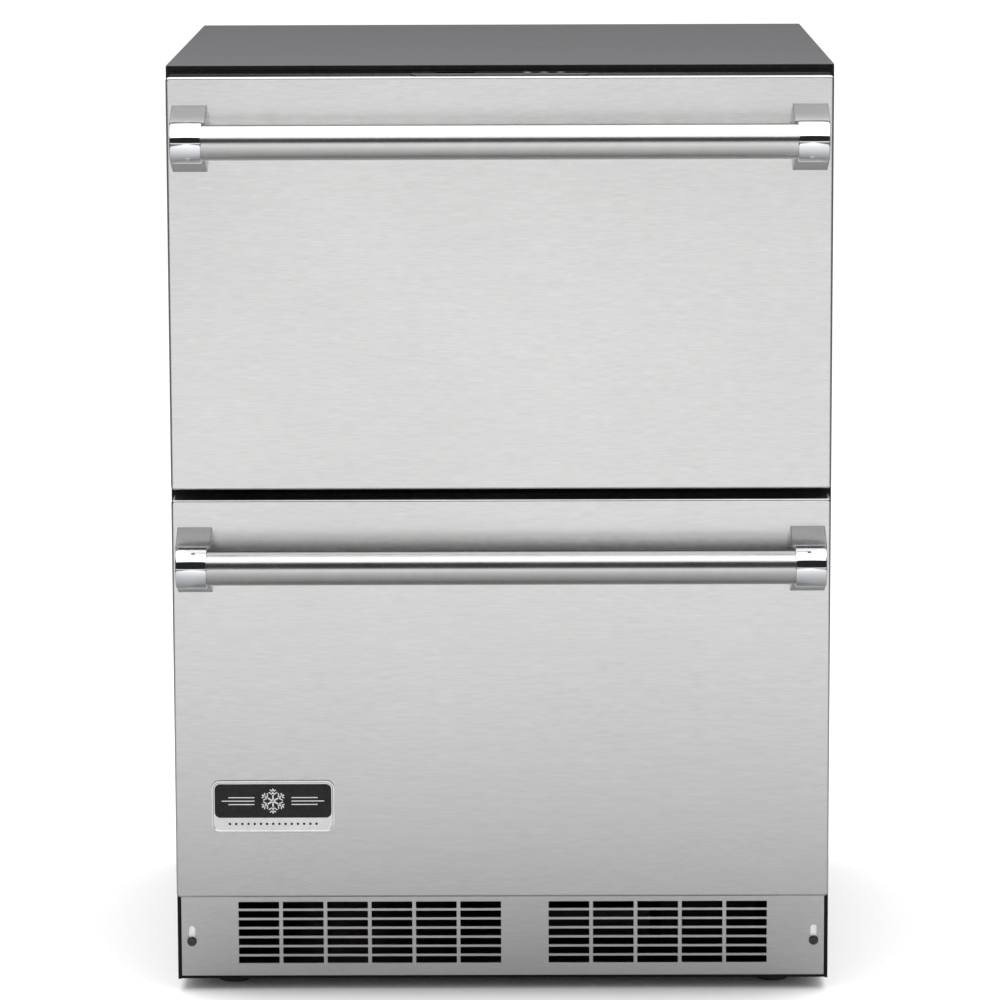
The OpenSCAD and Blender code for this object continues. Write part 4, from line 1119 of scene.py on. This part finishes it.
SOFTBOX = 2.0  # radiance of the overhead softbox
DOME = 1.25  # radiance of the even light from all round
FLOOR_PALE = 0.86  # the floor as it shows and as it lights the appliance
GROUND_SEEN = 0.26  # how bright metal sees the near floor
GROUND_FAR = 1.0  # how bright metal sees the far floor
AT_THE_SIDES = 0.12  # how bright metal sees the room and the floor at the sides
HORIZON = 1.15  # the bright band that metal sees low in front
DARK_ROOM = 0.02  # what metal sees in front above that band
BACKDROP = 0.30  # the pale backdrop behind, as the top panel sees it


def floor():
    mesh = bpy.data.meshes.new("floor")
    bm = bmesh.new()
    bmesh.ops.create_grid(bm, x_segments=1, y_segments=1, size=30)
    bm.to_mesh(mesh)
    bm.free()
    ground = in_scene("Floor", mesh)
    pale = Finish("pale floor", Roughness=0.9, Specular_IOR_Level=0.0)
    tree = pale.tree
    where = tree.nodes.new("ShaderNodeSeparateXYZ")
    feed(tree, where.inputs[0], pale.place)
    rays = tree.nodes.new("ShaderNodeLightPath").outputs
    aside = ranged(tree, math_node(tree, "ABSOLUTE", where.outputs["X"]), 1.2, 2.2)
    away = ranged(tree, math_node(tree, "MULTIPLY", where.outputs["Y"], -1.0), 0.3, 3.2)
    seen = blended(tree, away, GROUND_SEEN, GROUND_FAR)
    seen = blended(tree, aside, seen, AT_THE_SIDES)
    feed(tree, pale.shader.inputs["Base Color"],
         blended(tree, rays["Is Glossy Ray"], FLOOR_PALE, seen))
    mesh.materials.append(pale.material)


def studio_world():
    world = bpy.data.worlds.new("studio")
    bpy.context.scene.world = world
    world.use_nodes = True
    tree = world.node_tree
    tree.nodes.clear()
    output = tree.nodes.new("ShaderNodeOutputWorld")
    split = tree.nodes.new("ShaderNodeSeparateXYZ")
    feed(tree, split.inputs[0], tree.nodes.new("ShaderNodeTexCoord").outputs["Generated"])
    rays = tree.nodes.new("ShaderNodeLightPath").outputs

    def background(colour, strength):
        node = tree.nodes.new("ShaderNodeBackground")
        feed(tree, node.inputs["Color"], colour)
        feed(tree, node.inputs["Strength"], strength)
        return node.outputs[0]

    def chosen(*inputs):
        node = tree.nodes.new("ShaderNodeMixShader")
        for socket, value in zip(node.inputs, inputs):
            feed(tree, socket, value)
        return node.outputs[0]

    # metal sees a bright band low in front with a dark room above it, dark sides, and a
    # pale backdrop behind; the camera sees white
    in_front = blended(tree, ranged(tree, split.outputs["Z"], 0.02, 0.10), HORIZON, DARK_ROOM)
    around = blended(tree, ranged(tree, split.outputs["Y"], -0.05, 0.3), in_front, BACKDROP)
    flags = ranged(tree, math_node(tree, "ABSOLUTE", split.outputs["X"]), 0.55, 0.75)
    shine = background(blended(tree, flags, around, AT_THE_SIDES), 1.0)
    lit = chosen(rays["Is Glossy Ray"], background(1.0, DOME), shine)
    shown = chosen(rays["Is Camera Ray"], lit, background(1.0, 1.0))
    feed(tree, output.inputs["Surface"], shown)


def overhead_softbox():
    low, high = Vector((0, -1.50, 1.64)), Vector((0, 1.0, 1.95))
    data = bpy.data.lights.new("overhead softbox", "AREA")
    data.shape = "RECTANGLE"
    data.size, data.size_y = 2.6, (high - low).length
    data.energy = SOFTBOX * pi * data.size * data.size_y
    lamp = in_scene("Overhead_softbox", data)
    across, along = Vector((1, 0, 0)), (high - low).normalized()
    turned = Matrix((across, along, across.cross(along))).transposed().to_4x4()
    lamp.matrix_world = Matrix.Translation((low + high) / 2) @ turned  # it shines along its -Z
    lamp.visible_camera = False


def camera():
    """Long lens at the front, a little above the appliance and looking slightly down."""
    front_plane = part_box("front_frame")[0].y
    place = (0.0162, front_plane - 4.481, 1.190)
    pitch, yaw, roll = radians(9.20), radians(-0.222), radians(0.19)
    forward = Vector((sin(yaw) * cos(pitch), cos(yaw) * cos(pitch), -sin(pitch)))
    right = Vector((cos(yaw), -sin(yaw), 0))
    upward = right.cross(forward)
    right, upward = (right * cos(roll) - upward * sin(roll),
                     right * sin(roll) + upward * cos(roll))
    turned = Matrix((right, upward, -forward)).transposed().to_4x4()
    data = bpy.data.cameras.new("camera")
    data.lens, data.sensor_width = 177.8, 36
    data.clip_start, data.clip_end = 0.1, 200
    view = in_scene("Camera", data)
    view.matrix_world = Matrix.Translation(place) @ turned
    bpy.context.scene.camera = view


floor()
studio_world()
overhead_softbox()
bpy.context.scene.view_settings.view_transform = "Standard"
camera()
